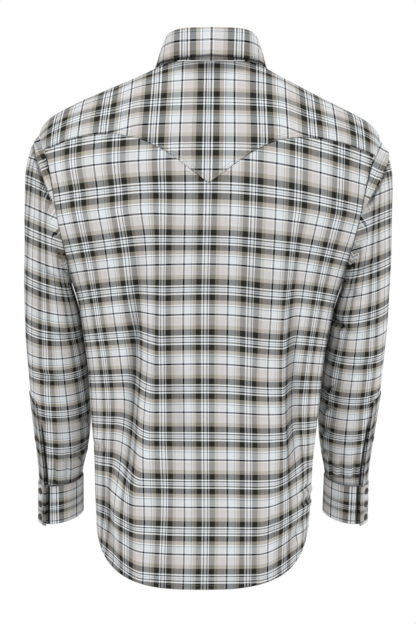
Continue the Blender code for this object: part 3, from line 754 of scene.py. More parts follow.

# %% [markdown]
# ## A sheet of cloth from a flat grid
#
# Cloth could be simulated, but a worn shirt has folds in known places, and those are easier to
# place one by one. So each piece starts as a flat grid. Its points are laid on the form, pushed
# along their normals by folds and seams, and only then hung as worn. Rows stand closer together
# near the edges, where the seams need them.

# %% Grids laid on the form
CROWDED = 0.6
ACROSS_STEPS = 140
DOWN_STEPS = 170


def closer_at_ends(total, count):
    """Places from 0 to the total, closer together at both ends."""
    parts = np.linspace(0.0, 1.0, count + 1)
    return total * (parts - CROWDED * np.sin(2 * np.pi * parts) / (2 * np.pi))


def lay(columns, rows, place):
    """The form's points at each crossing of the columns and rows."""
    return np.array([[place(column, row) for column in columns] for row in rows])


def lengths_along(points, axis):
    """How far each point lies along its row (axis 1) or its column (axis 0)."""
    steps = np.linalg.norm(np.diff(points, axis=axis), axis=2)
    start = np.zeros_like(np.take(steps, [0], axis=axis))
    return np.concatenate([start, np.cumsum(steps, axis=axis)], axis=axis)


def upright_middle(points, depth=0.0):
    """The point of an upright line level with each point."""
    middle = np.zeros_like(points)
    middle[..., 1] = depth
    middle[..., 2] = points[..., 2]
    return middle


def outward_normals(points, middle, closed=False):
    """The unit normals of a grid, pointing away from its middle line."""
    across = np.gradient(points, axis=1)
    if closed:
        joined = (points[:, 1] - points[:, -2]) / 2
        across[:, 0] = joined
        across[:, -1] = joined
    normals = np.cross(across, np.gradient(points, axis=0))
    lengths = np.linalg.norm(normals, axis=2, keepdims=True)
    normals = normals / np.maximum(lengths, 1e-12)
    away = np.sum(normals * (points - middle))
    return normals if away > 0 else -normals


def soft(values, start, end):
    """The same soft change as ease, for a whole grid at once."""
    part = np.clip((values - start) / (end - start), 0.0, 1.0)
    return part * part * (3 - 2 * part)


rows_down = closer_at_ends(BODY_ROWS, DOWN_STEPS)
print("body rows:", [round(v, 2) for v in rows_down[:4]])

# %% [markdown]
# ## Folds, seams and hems as relief
#
# A crease is a soft trough with a lower ridge beside it, since the cloth that is pushed in has
# to go somewhere. A seam is a rounded edge with a doubled welt next to it and a shallow groove
# under its stitches. Small puckers follow the stitches, and a slow wave keeps the cloth from
# looking stiff. Little light reaches the bottom of a narrow fold, so the folds also give every
# piece a shade, which darkens its cloth there.

# %% Relief
WELT = 0.0085
WELT_RISE = 0.00045
EDGE_ROLL = 0.0012
EDGE_DROP = 0.0008
STITCH_INSET = 0.0020
GROOVE = 0.00022
PUCKER = 0.00030
PUCKER_LENGTH = 0.0085
PUCKER_DRIFT = (1.7, 61.0)  # how much and how fast the puckers' spacing changes
PUCKER_AT = 0.004
PUCKER_REACH = 0.007
WELT_FADE = (0.0012, 0.0008)
GROOVE_HALF = 0.0007
CREASE_FADE = 1.2
RIDGE_SHARE = 0.5
RIDGE_ASIDE = 1.7         # in half widths of its crease


def creases(x, z, table):
    """The relief of creases, each a line with a half width and a depth."""
    relief = np.zeros_like(x)
    for x_start, z_start, x_end, z_end, half_width, depth in table:
        run = np.array([x_end - x_start, z_end - z_start])
        length = np.linalg.norm(run)
        along = ((x - x_start) * run[0] + (z - z_start) * run[1]) / length ** 2
        aside = ((x - x_start) * run[1] - (z - z_start) * run[0]) / length
        fade = np.sin(np.pi * np.clip(along, 0.0, 1.0)) ** CREASE_FADE
        trough_shape = np.exp(-((aside / half_width) ** 2))
        ridge_shape = RIDGE_SHARE * np.exp(-(((aside - RIDGE_ASIDE * half_width) / half_width) ** 2))
        relief += depth * fade * (ridge_shape - trough_shape)
    return relief


def seam_relief(distance, along, welt):
    """The relief next to a sewn edge: its roll, its welt, its stitch grooves and puckers."""
    roll = -EDGE_DROP * (1.0 - soft(distance, 0.0, EDGE_ROLL)) ** 2
    raised = welt * (1.0 - soft(distance, WELT - WELT_FADE[0], WELT + WELT_FADE[1]))
    grooves = sum(
        np.exp(-(((distance - inset) / GROOVE_HALF) ** 2)) for inset in (STITCH_INSET, WELT - STITCH_INSET)
    )
    drift = PUCKER_DRIFT[0] * np.sin(along * PUCKER_DRIFT[1])
    wave = np.sin(2 * np.pi * along / PUCKER_LENGTH + drift)
    puckers = PUCKER * wave * np.exp(-(((distance - PUCKER_AT) / PUCKER_REACH) ** 2))
    return roll + raised - GROOVE * grooves + puckers


print("welt:", WELT, "pucker length:", PUCKER_LENGTH)

# %% Grooves, shades and the slow wave
SEED_STEPS = (3.1, 1.7, 0.9)  # how far one wave lies from the next in the noise


def groove(distance, half):
    """A narrow sunken line with a flat bottom, 1 in its middle."""
    return np.exp(-((distance / half) ** 4))


def valley(relief, depth):
    """How far a place lies in a fold, from 0 on the cloth to 1 at this depth."""
    return np.clip(-relief / depth, 0.0, 1.0)


def beside(distance, reach):
    """A soft band along an edge, from 1 at the edge to 0 at its reach."""
    return 1.0 - soft(distance, 0.0, reach)


def slow_wave(points, size, seed):
    """A gentle unevenness of the whole piece, between -1 and 1."""
    shift = Vector([seed * step for step in SEED_STEPS])
    wave = [[noise.noise(Vector(point) / size + shift) for point in row] for row in points]
    return np.array(wave)


print("half way down a fold:", float(valley(np.array(-0.5), 1.0)))

# %% [markdown]
# ## The cut of each piece
#
# The plaid must run with the threads of each cut piece, so every piece gets a UV map in metres
# of flat cloth: warp threads count across it and weft threads down it. The yoke and collar are
# cut across the grain, so on them the two directions change places.

# %% Where the threads run on the body
WARP_REPEAT = 0.067
WEFT_REPEAT = 0.077
WARP_PAIR = 0.503         # from the navy line to the middle of the dark pair, in repeats
WEFT_PAIR = 0.507
BODY_EASE_TOP = 1.047
BODY_EASE_LOW = 1.10
WEFT_AT = Curve(
    # z at the middle, metres of cloth below the first navy line
    (-0.800, 0.709),
    (-0.7174, 0.616),
    (-0.5813, 0.462),
    (-0.4429, 0.308),
    (-0.2988, 0.154),
    (-0.2277, 0.077),
    (-0.1456, 0.000),
    (-0.060, -0.080),
)
CENTRE_LINE = Curve((-0.67, -0.0047), (-0.39, 0.0018), (-0.19, 0.0011))
DROOP_LEFT = Curve(
    # z, how much lower the lines hang at the side
    (-0.717, -0.0100), (-0.650, 0.0000), (-0.581, -0.0045), (-0.513, 0.0060), (-0.443, 0.0130),
    (-0.372, 0.0179), (-0.299, 0.0144), (-0.228, 0.0140), (-0.146, 0.0200),
)
DROOP_RIGHT = Curve(
    (-0.717, 0.0000), (-0.650, 0.0000), (-0.581, -0.0026), (-0.513, 0.0076), (-0.443, 0.0185),
    (-0.372, 0.0220), (-0.299, 0.0230), (-0.228, 0.0230), (-0.146, 0.0300),
)
STEP_LEFT = Curve(
    # z, how much higher the lines sit past the fold, its distance from the middle, half its width
    (-0.800, 0.0420, 0.130, 0.048), (-0.717, 0.0400, 0.130, 0.044), (-0.650, 0.0250, 0.126, 0.030),
    (-0.581, 0.0270, 0.108, 0.028), (-0.513, 0.0215, 0.100, 0.026), (-0.443, 0.0160, 0.090, 0.022),
    (-0.372, 0.0080, 0.082, 0.022), (-0.299, 0.0000, 0.080, 0.025),
)
STEP_RIGHT = Curve(
    (-0.800, 0.0540, 0.140, 0.060), (-0.717, 0.0500, 0.140, 0.060), (-0.650, 0.0350, 0.140, 0.055),
    (-0.581, 0.0200, 0.131, 0.014), (-0.513, 0.0130, 0.1235, 0.010), (-0.443, 0.0094, 0.1215, 0.011),
    (-0.372, 0.0065, 0.123, 0.012), (-0.299, 0.0000, 0.123, 0.014),
)
HIDDEN = Curve(
    # z, how much cloth lies inside the long fold on either side
    (-0.760, 0.000), (-0.680, 0.012), (-0.596, 0.025), (-0.510, 0.035), (-0.440, 0.030),
    (-0.365, 0.019), (-0.278, 0.010), (-0.220, 0.000),
)
HIDDEN_SOFT = 0.020
RIGHT_EASE = 0.97
LEFT_EASE = Curve(
    # z, how much closer the threads count on the wearer's left
    (-0.800, 1.000), (-0.300, 0.995), (-0.240, 0.990), (-0.196, 0.980), (-0.154, 0.947), (-0.110, 0.950),
)
DROOP_REACH = 0.216
SAGS = (
    # middle of the sag, half width, half height, and how much lower the lines hang there
    (-0.088, -0.480, 0.040, 0.260, 0.0032), (0.095, -0.225, 0.045, 0.060, -0.0040),
)
EASE_DEPTHS = (0.15, 0.64)  # between these depths the fullness grows
print("weft repeats above the hem:", round(WEFT_AT(HEM_BACK) / WEFT_REPEAT, 1))

# %% Lengths round the body
TABLE_STEPS = 400
CHEST = -0.20
GIRTH_HEIGHTS = np.linspace(-0.80, 0.005, 90)
GIRTH_TURNS = np.linspace(0.0, 180.0, 181)
GIRTHS = []
for height in GIRTH_HEIGHTS:
    ring = np.array([torso(height, turn) for turn in GIRTH_TURNS])
    steps = np.linalg.norm(np.diff(ring, axis=0), axis=1)
    GIRTHS.append(np.concatenate([[0.0], np.cumsum(steps)]))
GIRTHS = np.array(GIRTHS)


def each(curve, values):
    """A curve's values for a whole grid."""
    dense = np.linspace(values.min(), values.max(), TABLE_STEPS)
    return np.interp(values, dense, [curve(value) for value in dense])


def column(curve, which, values):
    """One column of a table's values for a whole grid."""
    return each(lambda value: curve(value)[which], values)


def torso_turns(points):
    """The turn round the torso of each point, 0 at the centre back and 180 at the front."""
    z = points[..., 2]
    half_width, back, front = column(TORSO, 0, z), column(TORSO, 1, z), column(TORSO, 2, z)
    reach = np.where(points[..., 1] > 0, back, front)
    side = np.abs(points[..., 0] / half_width) ** (SQUARENESS / 2)
    depth = np.sign(points[..., 1]) * np.abs(points[..., 1] / reach) ** (SQUARENESS / 2)
    return np.degrees(np.arctan2(side, depth))


def girth(points):
    """The length round the torso from the centre back to each point, by its side."""
    turns = torso_turns(points)
    rows = np.interp(points[..., 2], GIRTH_HEIGHTS, np.arange(len(GIRTH_HEIGHTS)))
    low = np.clip(rows.astype(int), 0, len(GIRTH_HEIGHTS) - 2)
    part = rows - low
    turn = np.clip(turns.astype(int), 0, len(GIRTH_TURNS) - 2)
    share = turns - turn
    lower = GIRTHS[low, turn] * (1 - share) + GIRTHS[low, turn + 1] * share
    upper = GIRTHS[low + 1, turn] * (1 - share) + GIRTHS[low + 1, turn + 1] * share
    return lower * (1 - part) + upper * part


chest_row = np.searchsorted(GIRTH_HEIGHTS, CHEST)
print("girth at the chest:", round(2 * float(GIRTHS[chest_row, -1]), 3))

# %% The maps of the back and the fronts
def weft_on_body(x, z, stepped):
    """How far down the cloth each place of the body lies."""
    droop = np.where(x > 0, each(DROOP_LEFT, z), each(DROOP_RIGHT, z)) * (x / DROOP_REACH) ** 2
    shift = droop
    if stepped:
        for x_middle, z_middle, half_width, half_height, sag in SAGS:
            round_it = ((x - x_middle) / half_width) ** 2 + ((z - z_middle) / half_height) ** 2
            shift = shift + sag * np.exp(-round_it)
        for table, out in ((STEP_LEFT, x), (STEP_RIGHT, -x)):
            rise, fold, reach = column(table, 0, z), column(table, 1, z), column(table, 2, z)
            shift = shift - rise * soft(out, fold - reach, fold + reach)
    return each(WEFT_AT, z + shift)


def cut_back(points):
    """The back's map: the dark pair of stripes runs down the centre."""
    x, z = points[..., 0], points[..., 2]
    fullness = BODY_EASE_TOP + (BODY_EASE_LOW - BODY_EASE_TOP) * soft(-z, *EASE_DEPTHS)
    arc = girth(points) * fullness * np.where(x > 0, each(LEFT_EASE, z), RIGHT_EASE)
    fold = np.where(x > 0, column(STEP_LEFT, 1, z), column(STEP_RIGHT, 1, z))
    arc = arc + each(HIDDEN, z) * soft(np.abs(x), fold - HIDDEN_SOFT, fold + HIDDEN_SOFT)
    arc = np.sign(x) * arc
    across = WARP_PAIR * WARP_REPEAT - (arc - each(CENTRE_LINE, z))
    return np.stack([across, weft_on_body(x, z, True)], axis=-1)


def cut_front(points):
    """A front's map, counted from the centre front."""
    x, z = points[..., 0], points[..., 2]
    half = np.interp(z, GIRTH_HEIGHTS, GIRTHS[:, -1])
    arc = np.sign(x) * (half - girth(points)) * BODY_EASE_TOP
    return np.stack([WARP_PAIR * WARP_REPEAT + arc, weft_on_body(x, z, False)], axis=-1)


print("dark pair at:", round(WARP_PAIR * WARP_REPEAT, 4), "of", WARP_REPEAT)

# %% [markdown]
# ## From a grid to a piece
#
# A flat grid already has clean faces and a map. Moving its points onto the form keeps both, and
# a Solidify modifier then gives the wall, so every piece is made by the same short function.

# %% A hung grid with its map and shade
def hang(points):
    """The finished points, hung as worn."""
    return np.array([[settled(Vector(point)) for point in row] for row in points])


def flat_mesh(points, cut, shade, hole):
    """A flat grid with the piece's map and shade, less the faces that a hole takes away."""
    rows, columns = points.shape[:2]
    grid = bmesh.new()
    bmesh.ops.create_grid(grid, x_segments=columns - 1, y_segments=rows - 1, size=0.5)
    threads = grid.loops.layers.uv.new("cut")
    # the painted shade: how far each point's cloth is darkened
    depth = grid.verts.layers.float.new("shade")
    places = {}
    for vertex in grid.verts:
        column = round((vertex.co.x + 0.5) * (columns - 1))
        row = round((0.5 - vertex.co.y) * (rows - 1))
        places[vertex] = (row, column)
    dropped = []
    for face in grid.faces:
        for loop in face.loops:
            loop[threads].uv = cut[places[loop.vert]]
        row = sum(places[vertex][0] for vertex in face.verts) / 4
        column = sum(places[vertex][1] for vertex in face.verts) / 4
        if hole is not None and hole(column, row):
            dropped.append(face)
    hung = hang(points)
    for vertex in grid.verts:
        vertex.co = hung[places[vertex]]
        vertex[depth] = shade[places[vertex]]
    bmesh.ops.delete(grid, geom=dropped, context="FACES")
    return grid, hung


print("the hem's middle hangs at x:", round(settled(Vector((0.0, 0.0, HEM_BACK))).x, 4))

# %% Making a piece from its grid
MERGE = 0.00002
SLEEVE_AXIS_ENDS = (-0.62, -0.24)
hung_faces = {}


def cloth_piece(name, node, points, cut, shade, wall, hole=None, closed=False):
    """A grid whose points are the cloth's outer face, given a wall inwards."""
    grid, hung = flat_mesh(points, cut, shade, hole)
    if closed:
        bmesh.ops.remove_doubles(grid, verts=grid.verts, dist=MERGE)
    grid.normal_update()
    facing = 0.0
    for face in grid.faces:
        centre = face.calc_center_median()
        facing += (centre - axis_of(node, centre)).dot(face.normal) * face.calc_area()
    if facing < 0:
        bmesh.ops.reverse_faces(grid, faces=grid.faces)
    area = sum(face.calc_area() for face in grid.faces)
    mesh = mesh_of(name, grid, plaid)
    mesh.shade_smooth()
    piece = placed(name, mesh)
    thickness = piece.modifiers.new("Wall", "SOLIDIFY")
    thickness.thickness = wall
    thickness.offset = -1.0
    thickness.use_rim = True
    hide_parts(node)
    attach(piece, "root")
    width = float(lengths_along(hung, 1)[:, -1].max())
    length = float(lengths_along(hung, 0)[-1].max())
    hung_faces[name] = (piece, hung, (width, length), area)
    print(name, "faces:", len(mesh.polygons), "flat:", round(width, 3), round(length, 3))
    return piece


def axis_of(node, point):
    """The middle line that a piece's outer face looks away from."""
    if "sleeve" in node or "cuff" in node:
        low, high = SLEEVE_AXIS_ENDS
        x, y, _ = SLEEVE_AXIS(max(min(point.z, high), low))
        side = 1.0 if point.x > 0 else -1.0
        return Vector((side * x - LEAN * point.z, y, point.z))
    middle = NECK_MIDDLE if "collar" in node else 0.0
    return Vector((-LEAN * point.z, middle, point.z))


print("ready to make pieces")

# %% [markdown]
# ## Materials from nodes
#
# Shader maths reads best as ordinary sums, so one small class wraps a socket and lets Python's
# operators add the Math nodes. Every other node comes from one method of the finish it is for.

# %% Sockets that can be added and multiplied
class Level:
    """A socket's number. Sums and products with it add Math nodes to its tree."""

    def __init__(self, nodes, socket):
        self.nodes = nodes
        self.socket = socket

    def maths(self, operation, *values):
        node = self.nodes.node("ShaderNodeMath", {"operation": operation}, dict(enumerate(values)))
        return Level(self.nodes, node.outputs[0])

    def __add__(self, other):
        return self.maths("ADD", self, other)

    def __sub__(self, other):
        return self.maths("SUBTRACT", self, other)

    def __rsub__(self, other):
        return self.maths("SUBTRACT", other, self)

    def __mul__(self, other):
        return self.maths("MULTIPLY", self, other)

    def __truediv__(self, other):
        return self.maths("DIVIDE", self, other)


print("a level adds, subtracts, multiplies and divides")

# %% Trees and finishes
class Nodes:
    """A node tree and the one way in which nodes are added to it."""

    def __init__(self, tree):
        self.tree = tree

    def node(self, kind, settings=None, values=None):
        node = self.tree.nodes.new(kind)
        for name, value in (settings or {}).items():
            if name == "stops":
                self.set_stops(node.color_ramp, value)
            else:
                setattr(node, name, value)
        for name, value in (values or {}).items():
            self.put(node.inputs[name], value)
        return node

    def set_stops(self, ramp, stops):
        ramp.interpolation = "CONSTANT"
        for place, colour in stops[2:]:
            ramp.elements.new(place)
        for element, (place, colour) in zip(ramp.elements, stops):
            element.position = place
            element.color = (*colour, 1.0)

    def put(self, socket, value):
        if isinstance(value, Level):
            self.tree.links.new(value.socket, socket)
        elif isinstance(value, bpy.types.NodeSocket):
            self.tree.links.new(value, socket)
        else:
            socket.default_value = value


class Finish(Nodes):
    """A material with its shader."""

    def __init__(self, name):
        self.material = bpy.data.materials.new(name)
        self.material.use_nodes = True
        super().__init__(self.material.node_tree)
        self.shader = self.tree.nodes["Principled BSDF"]

    def plain(self, **values):
        for name, value in values.items():
            self.shader.inputs[name.replace("_", " ")].default_value = value


print("finish methods ready")

# %% [markdown]
# ## The plaid
#
# The cloth is a twill of dyed yarns. Where a warp stripe crosses a weft stripe of another
# colour, the eye mixes both, and the weft shows a little more. So the two sets of stripes are
# drawn apart and then mixed, with a fine diagonal of the twill in the mixture and in the bump.

# %% The stripes of the plaid
def linear(red, green, blue):
    """A colour as seen on a screen, made linear."""
    return tuple(
        v / 12.92 if v <= 0.04045 else ((v + 0.055) / 1.055) ** 2.4
        for v in (red / 255, green / 255, blue / 255)
    )


NAVY = linear(13, 16, 33)
DARK = linear(43, 43, 39)
TAN = linear(178, 171, 158)
PINK_GREY = linear(216, 211, 209)
PALE = linear(230, 235, 238)
WHITE = linear(250, 253, 255)
BLUE_GREY = linear(120, 130, 145)
WARP_SETT = (
    # colour, width, in the same unit all through
    (NAVY, 0.88), (WHITE, 0.7), (PALE, 5.64), (BLUE_GREY, 0.7), (PALE, 1.35), (TAN, 3.2),
    (DARK, 5.5), (WHITE, 1.5), (DARK, 1.15), (PALE, 2.6), (DARK, 1.2), (WHITE, 1.05),
    (DARK, 5.6), (TAN, 3.4), (PINK_GREY, 7.25), (WHITE, 1.0), (NAVY, 0.88),
)
WEFT_SETT = (
    (NAVY, 0.88), (WHITE, 1.15), (PINK_GREY, 8.3), (TAN, 3.65), (DARK, 5.75), (WHITE, 1.3),
    (DARK, 1.3), (PALE, 1.4), (BLUE_GREY, 0.65), (PALE, 1.4), (DARK, 1.3), (WHITE, 1.55),
    (DARK, 5.45), (TAN, 3.85), (WHITE, 1.15), (BLUE_GREY, 0.75), (PALE, 6.0), (WHITE, 0.7),
    (NAVY, 0.87),
)
print("stripes:", len(WARP_SETT), "by", len(WEFT_SETT))

# %% The twill finish
WEFT_SHARE = 0.57
MIX_AND_WEAVE_SHADE = 1.5          # darkens the mix where colours cross: partly the yarns, partly painted shade
DEEP_SHADE = (0.006, 0.006, 0.007)
TWILL = 0.0011            # metres from one diagonal to the next
TWILL_DEPTH = 0.10
TWILL_BUMP = 0.0002
BUMP_STRENGTH = 0.25


def sett_stops(sett):
    """The stops of a ramp over one repeat."""
    whole = sum(width for _, width in sett)
    stops, place = [], 0.0
    for colour, width in sett:
        stops.append((place / whole, tuple(v ** (1 / MIX_AND_WEAVE_SHADE) for v in colour)))
        place += width
    return stops


def plaid_finish(name):
    """The twill plaid, on the map of the flat cut."""
    plaid = Finish(name)
    cut = plaid.node("ShaderNodeUVMap", {"uv_map": "cut"})
    apart = plaid.node("ShaderNodeSeparateXYZ", values={"Vector": cut.outputs["UV"]})
    across, down = Level(plaid, apart.outputs["X"]), Level(plaid, apart.outputs["Y"])
    warp_place = across.maths("FRACT", across / WARP_REPEAT)
    weft_place = down.maths("FRACT", down / WEFT_REPEAT)
    warp = plaid.node("ShaderNodeValToRGB", {"stops": sett_stops(WARP_SETT)}, {"Fac": warp_place})
    weft = plaid.node("ShaderNodeValToRGB", {"stops": sett_stops(WEFT_SETT)}, {"Fac": weft_place})
    diagonal = (across + down) * (2 * math.pi / TWILL)
    twill = diagonal.maths("SINE", diagonal)
    woven = plaid.node(
        "ShaderNodeMix", {"data_type": "RGBA"},
        {"Factor": twill * TWILL_DEPTH + WEFT_SHARE, "A": warp.outputs["Color"], "B": weft.outputs["Color"]},
    )
    # a power that darkens mixed colours: partly the yarns' mix, partly painted shade between the yarns
    deep = plaid.node("ShaderNodeGamma", values={"Color": woven.outputs["Result"], "Gamma": MIX_AND_WEAVE_SHADE})
    shade = Level(plaid, plaid.node("ShaderNodeAttribute", {"attribute_name": "shade"}).outputs["Fac"])
    shaded = plaid.node(
        "ShaderNodeMix", {"data_type": "RGBA"},
        {"Factor": shade, "A": deep.outputs["Color"], "B": (*DEEP_SHADE, 1.0)},
    )
    plaid.put(plaid.shader.inputs["Base Color"], shaded.outputs["Result"])
    bump = plaid.node("ShaderNodeBump", values={
        "Strength": BUMP_STRENGTH, "Distance": TWILL_BUMP, "Height": twill * 0.5 + 0.5,
    })
    plaid.put(plaid.shader.inputs["Normal"], bump.outputs["Normal"])
    plaid.plain(Roughness=0.9, Specular_IOR_Level=0.08)
    return plaid.material


plaid = plaid_finish("twill plaid")
print("nodes of the plaid:", len(plaid.node_tree.nodes))

# %% [markdown]
# ## The back
#
# The back hangs from the pointed yoke seam. Long soft folds run down from below the shoulder
# blades, where the cloth turns towards the waist.

# %% The back
BACK_CREASES = (
    # x, z at the start, x, z at the end, half width, depth
    (0.098, -0.250, 0.110, -0.640, 0.0090, 0.0052),
    (-0.124, -0.290, -0.130, -0.660, 0.0095, 0.0050),
    (0.150, -0.600, 0.128, -0.745, 0.0080, 0.0036),
    (0.060, -0.380, 0.020, -0.600, 0.0140, 0.0016),
    (-0.050, -0.240, -0.075, -0.450, 0.0130, 0.0014),
    (-0.168, -0.622, -0.134, -0.632, 0.0040, 0.0036),
    (-0.168, -0.640, -0.136, -0.654, 0.0040, 0.0036),
    (-0.152, -0.660, -0.122, -0.725, 0.0050, 0.0026),
    (-0.100, -0.655, -0.104, -0.712, 0.0050, 0.0018),
    (0.168, -0.560, 0.142, -0.572, 0.0050, 0.0024),
)
WALL = 0.0009
FOLD_SHADE = 0.55
FOLD_DEPTH = 0.0055
SEAM_SHADE = 0.32
SEAM_REACH = 0.0022
BODY_WAVE = (0.0011, 0.075)  # the slow wave's height and size


def torso_relief(points, table, welts, seed):
    """Folds, a slow wave and the seams of a body panel."""
    relief = creases(points[..., 0], points[..., 2], table)
    relief = relief + BODY_WAVE[0] * slow_wave(points, BODY_WAVE[1], seed)
    down, over = lengths_along(points, 0), lengths_along(points, 1)
    for edge, welt in welts.items():
        distance, along = {
            "top": (down, over),
            "hem": (down[-1:] - down, over),
            "left": (over, down),
            "right": (over[:, -1:] - over, down),
        }[edge]
        relief = relief + seam_relief(distance, along, welt)
    return relief


def torso_shade(points, table):
    """The shade in a body panel's folds and seams."""
    folds = FOLD_SHADE * valley(creases(points[..., 0], points[..., 2], table), FOLD_DEPTH)
    down, over = lengths_along(points, 0), lengths_along(points, 1)
    sides = np.minimum(over, over[:, -1:] - over)
    seam = np.maximum(beside(down, SEAM_REACH), beside(sides, SEAM_REACH))
    return np.maximum(folds, SEAM_SHADE * seam)


back_welts = {"top": 0, "hem": WELT_RISE, "left": 0, "right": 0}
back_grid = lay(closer_at_ends(BACK_COLUMNS, ACROSS_STEPS), rows_down, back_place)
back_out = outward_normals(back_grid, upright_middle(back_grid))
back_lift = CLOTH + torso_relief(back_grid, BACK_CREASES, back_welts, seed=1)
cloth_piece("cloth_back", "back", back_grid + back_out * back_lift[..., None],
            cut_back(back_grid), torso_shade(back_grid, BACK_CREASES), WALL)

# %% [markdown]
# ## The yoke
#
# The yoke is one piece over both shoulders, cut across the grain.

# %% The yoke
YOKE_LINE = -0.1625       # height of the navy line above the point
YOKE_SPACING = 0.071
YOKE_DROOP = 2.2
YOKE_EASE = (0.966, 1.010)  # at the seam and at the shoulder's top
YOKE_EASE_HEIGHTS = (-0.13, -0.02)
YOKE_SHIFT = 0.003
SLOPE_FROM = (0.10, 0.15)  # from here outwards the lines follow the slope of the shoulder
RIDGE_ROW = float(YOKE_FRONT_ROWS)
RIDGE_SIDE = 5.5          # the column just outside the neck
SHOULDER_COLUMN = 4.0     # the slope is measured here
ABOVE_SEAM = 8            # rows from the seam to where the steepness beside it is measured
STEEPNESS = (0.6, 1.0)


def beyond(values, at, heights):
    """A table read at these values, going on straight past its two ends."""
    inside = np.interp(values, at, heights)
    first = (heights[1] - heights[0]) / (at[1] - at[0])
    last = (heights[-1] - heights[-2]) / (at[-1] - at[-2])
    inside = np.where(values < at[0], heights[0] + (values - at[0]) * first, inside)
    return np.where(values > at[-1], heights[-1] + (values - at[-1]) * last, inside)


def line_level(x):
    """The height of the navy line, which droops away from the middle."""
    return YOKE_LINE - YOKE_DROOP * np.abs(x) ** 3


def cut_yoke(points, rows, columns):
    """The yoke's map: weft stripes run down it, and warp stripes across it."""
    x, z = points[..., 0], points[..., 2]
    ridge = points[np.searchsorted(rows, RIDGE_ROW)]
    left = ridge[:np.searchsorted(columns, RIDGE_SIDE)]
    steps = np.hypot(np.diff(left[:, 0]), np.diff(left[:, 2]))
    out, along = left[::-1, 0], np.concatenate([[0.0], np.cumsum(steps[::-1])])
    reach = np.where(np.abs(x) < out[0], np.abs(x), out[0] + beyond(np.abs(x), out, along))
    lengths = lengths_along(points, 0)
    up = lengths[-1:] - lengths
    seam = points[-1:]
    above = slice(-ABOVE_SEAM, 1 - ABOVE_SEAM)
    steep = (points[above, :, 2] - seam[..., 2]) / np.maximum(up[above], 1e-6)
    near = up - (line_level(seam[..., 0]) - seam[..., 2]) / np.clip(steep, *STEEPNESS)
    middle = np.searchsorted(columns, SHOULDER_COLUMN)
    from_ridge = np.searchsorted(rows, RIDGE_ROW)
    drop = ridge[middle, 2] - points[from_ridge:, middle, 2]
    run = lengths[from_ridge:, middle] - lengths[from_ridge, middle]
    ridge_z = beyond(np.abs(x), out, left[::-1, 2])
    far = beyond(ridge_z - line_level(x), drop, run) - beyond(ridge_z - z, drop, run)
    far[:from_ridge] = far[from_ridge] + lengths[from_ridge] - lengths[:from_ridge]
    across = near + (far - near) * soft(np.abs(x), *SLOPE_FROM)
    fullness = YOKE_EASE[0] + (YOKE_EASE[1] - YOKE_EASE[0]) * soft(z, *YOKE_EASE_HEIGHTS)
    down = WEFT_PAIR * WEFT_REPEAT - np.sign(x) * reach * fullness + YOKE_SHIFT
    return np.stack([across * WARP_REPEAT / YOKE_SPACING, down], axis=-1)


print("the yoke's navy line at:", YOKE_LINE)

# %% The yoke in cloth
YOKE_STEPS = 72
YOKE_WAVE = (0.0006, 0.08)
UNDER_YOKE = np.array([0.0, 0.0, -0.30])
NECK_CENTRE = np.array([0.0, NECK_MIDDLE, 0.0])
NECK_REACH = np.array([0.082, 0.0745, 10.0])  # the oval from which the shade starts, at any height
NECK_SHADE = 0.35
NECK_SHADE_REACH = 0.10
NECK_SIDES = (BACK_COLUMNS / 2 - NECK_COLUMNS, BACK_COLUMNS / 2 + NECK_COLUMNS)

yoke_rows = closer_at_ends(YOKE_FRONT_ROWS + YOKE_ROWS, YOKE_STEPS)
yoke_rows = np.array(sorted({*yoke_rows.round(5), RIDGE_ROW}))
yoke_columns = closer_at_ends(BACK_COLUMNS, ACROSS_STEPS)
yoke_columns = np.array(sorted({*yoke_columns.round(5), *NECK_SIDES}))
yoke_grid = lay(yoke_columns, yoke_rows, yoke_place)
yoke_out = outward_normals(yoke_grid, UNDER_YOKE)
yoke_lift = CLOTH + YOKE_WAVE[0] * slow_wave(yoke_grid, YOKE_WAVE[1], seed=3)
to_neck = np.linalg.norm((yoke_grid - NECK_CENTRE) / NECK_REACH, axis=-1)
yoke_shade = NECK_SHADE * beside(to_neck - 1.0, NECK_SHADE_REACH)


def over_neck(column, row):
    """Whether a face lies where the neck comes through."""
    return neck_hole(np.interp(column, range(len(yoke_columns)), yoke_columns),
                     np.interp(row, range(len(yoke_rows)), yoke_rows))


cloth_piece("cloth_yoke", "yoke", yoke_grid + yoke_out * yoke_lift[..., None],
            cut_yoke(yoke_grid, yoke_rows, yoke_columns), yoke_shade, WALL, hole=over_neck)

# %% [markdown]
# ## The fronts
#
# The left front laps over the right one, with a straight strip down its edge for the snaps.

# %% The fronts and the strip
FRONT_CREASES = (
    (0.120, -0.240, 0.100, -0.560, 0.0100, 0.0034),
    (0.060, -0.300, 0.075, -0.640, 0.0120, 0.0016),
)
FRONT_STEPS = 80
STRIP_STEPS = 16
STRIP_SHIFT = np.array([0.021, 0.0])  # the strip's cloth is cut this far aside


def mirrored(points):
    """The same points on the wearer's right."""
    return points * np.array([-1.0, 1.0, 1.0])


def front_panel(name, node, place, right, seed):
    """One front, from its closing edge to its side seam."""
    grid = lay(closer_at_ends(FRONT_COLUMNS, FRONT_STEPS), rows_down, place)
    out = outward_normals(grid, upright_middle(grid))
    welts = {"top": 0, "hem": WELT_RISE, "left": WELT_RISE, "right": 0}
    points = grid + out * (CLOTH + torso_relief(grid, FRONT_CREASES, welts, seed))[..., None]
    shade = torso_shade(grid, FRONT_CREASES)
    if right:
        grid, points = mirrored(grid), mirrored(points)
    return cloth_piece(name, node, points, cut_front(grid), shade, WALL)


front_panel("cloth_front_left", "front_left", front_left_place, right=False, seed=5)
front_panel("cloth_front_right", "front_right", front_place, right=True, seed=7)

strip_grid = lay(closer_at_ends(CLOSING_COLUMNS, STRIP_STEPS), rows_down, placket_place)
strip_out = outward_normals(strip_grid, upright_middle(strip_grid))
cloth_piece("cloth_front_placket", "front_placket", strip_grid + strip_out * CLOTH,
            cut_front(strip_grid) + STRIP_SHIFT, np.zeros(strip_grid.shape[:2]), WALL)

# %% [markdown]
# ## The sleeves
#
# A sleeve is a tube from the armhole to the cuff, bent a little forward at the elbow.

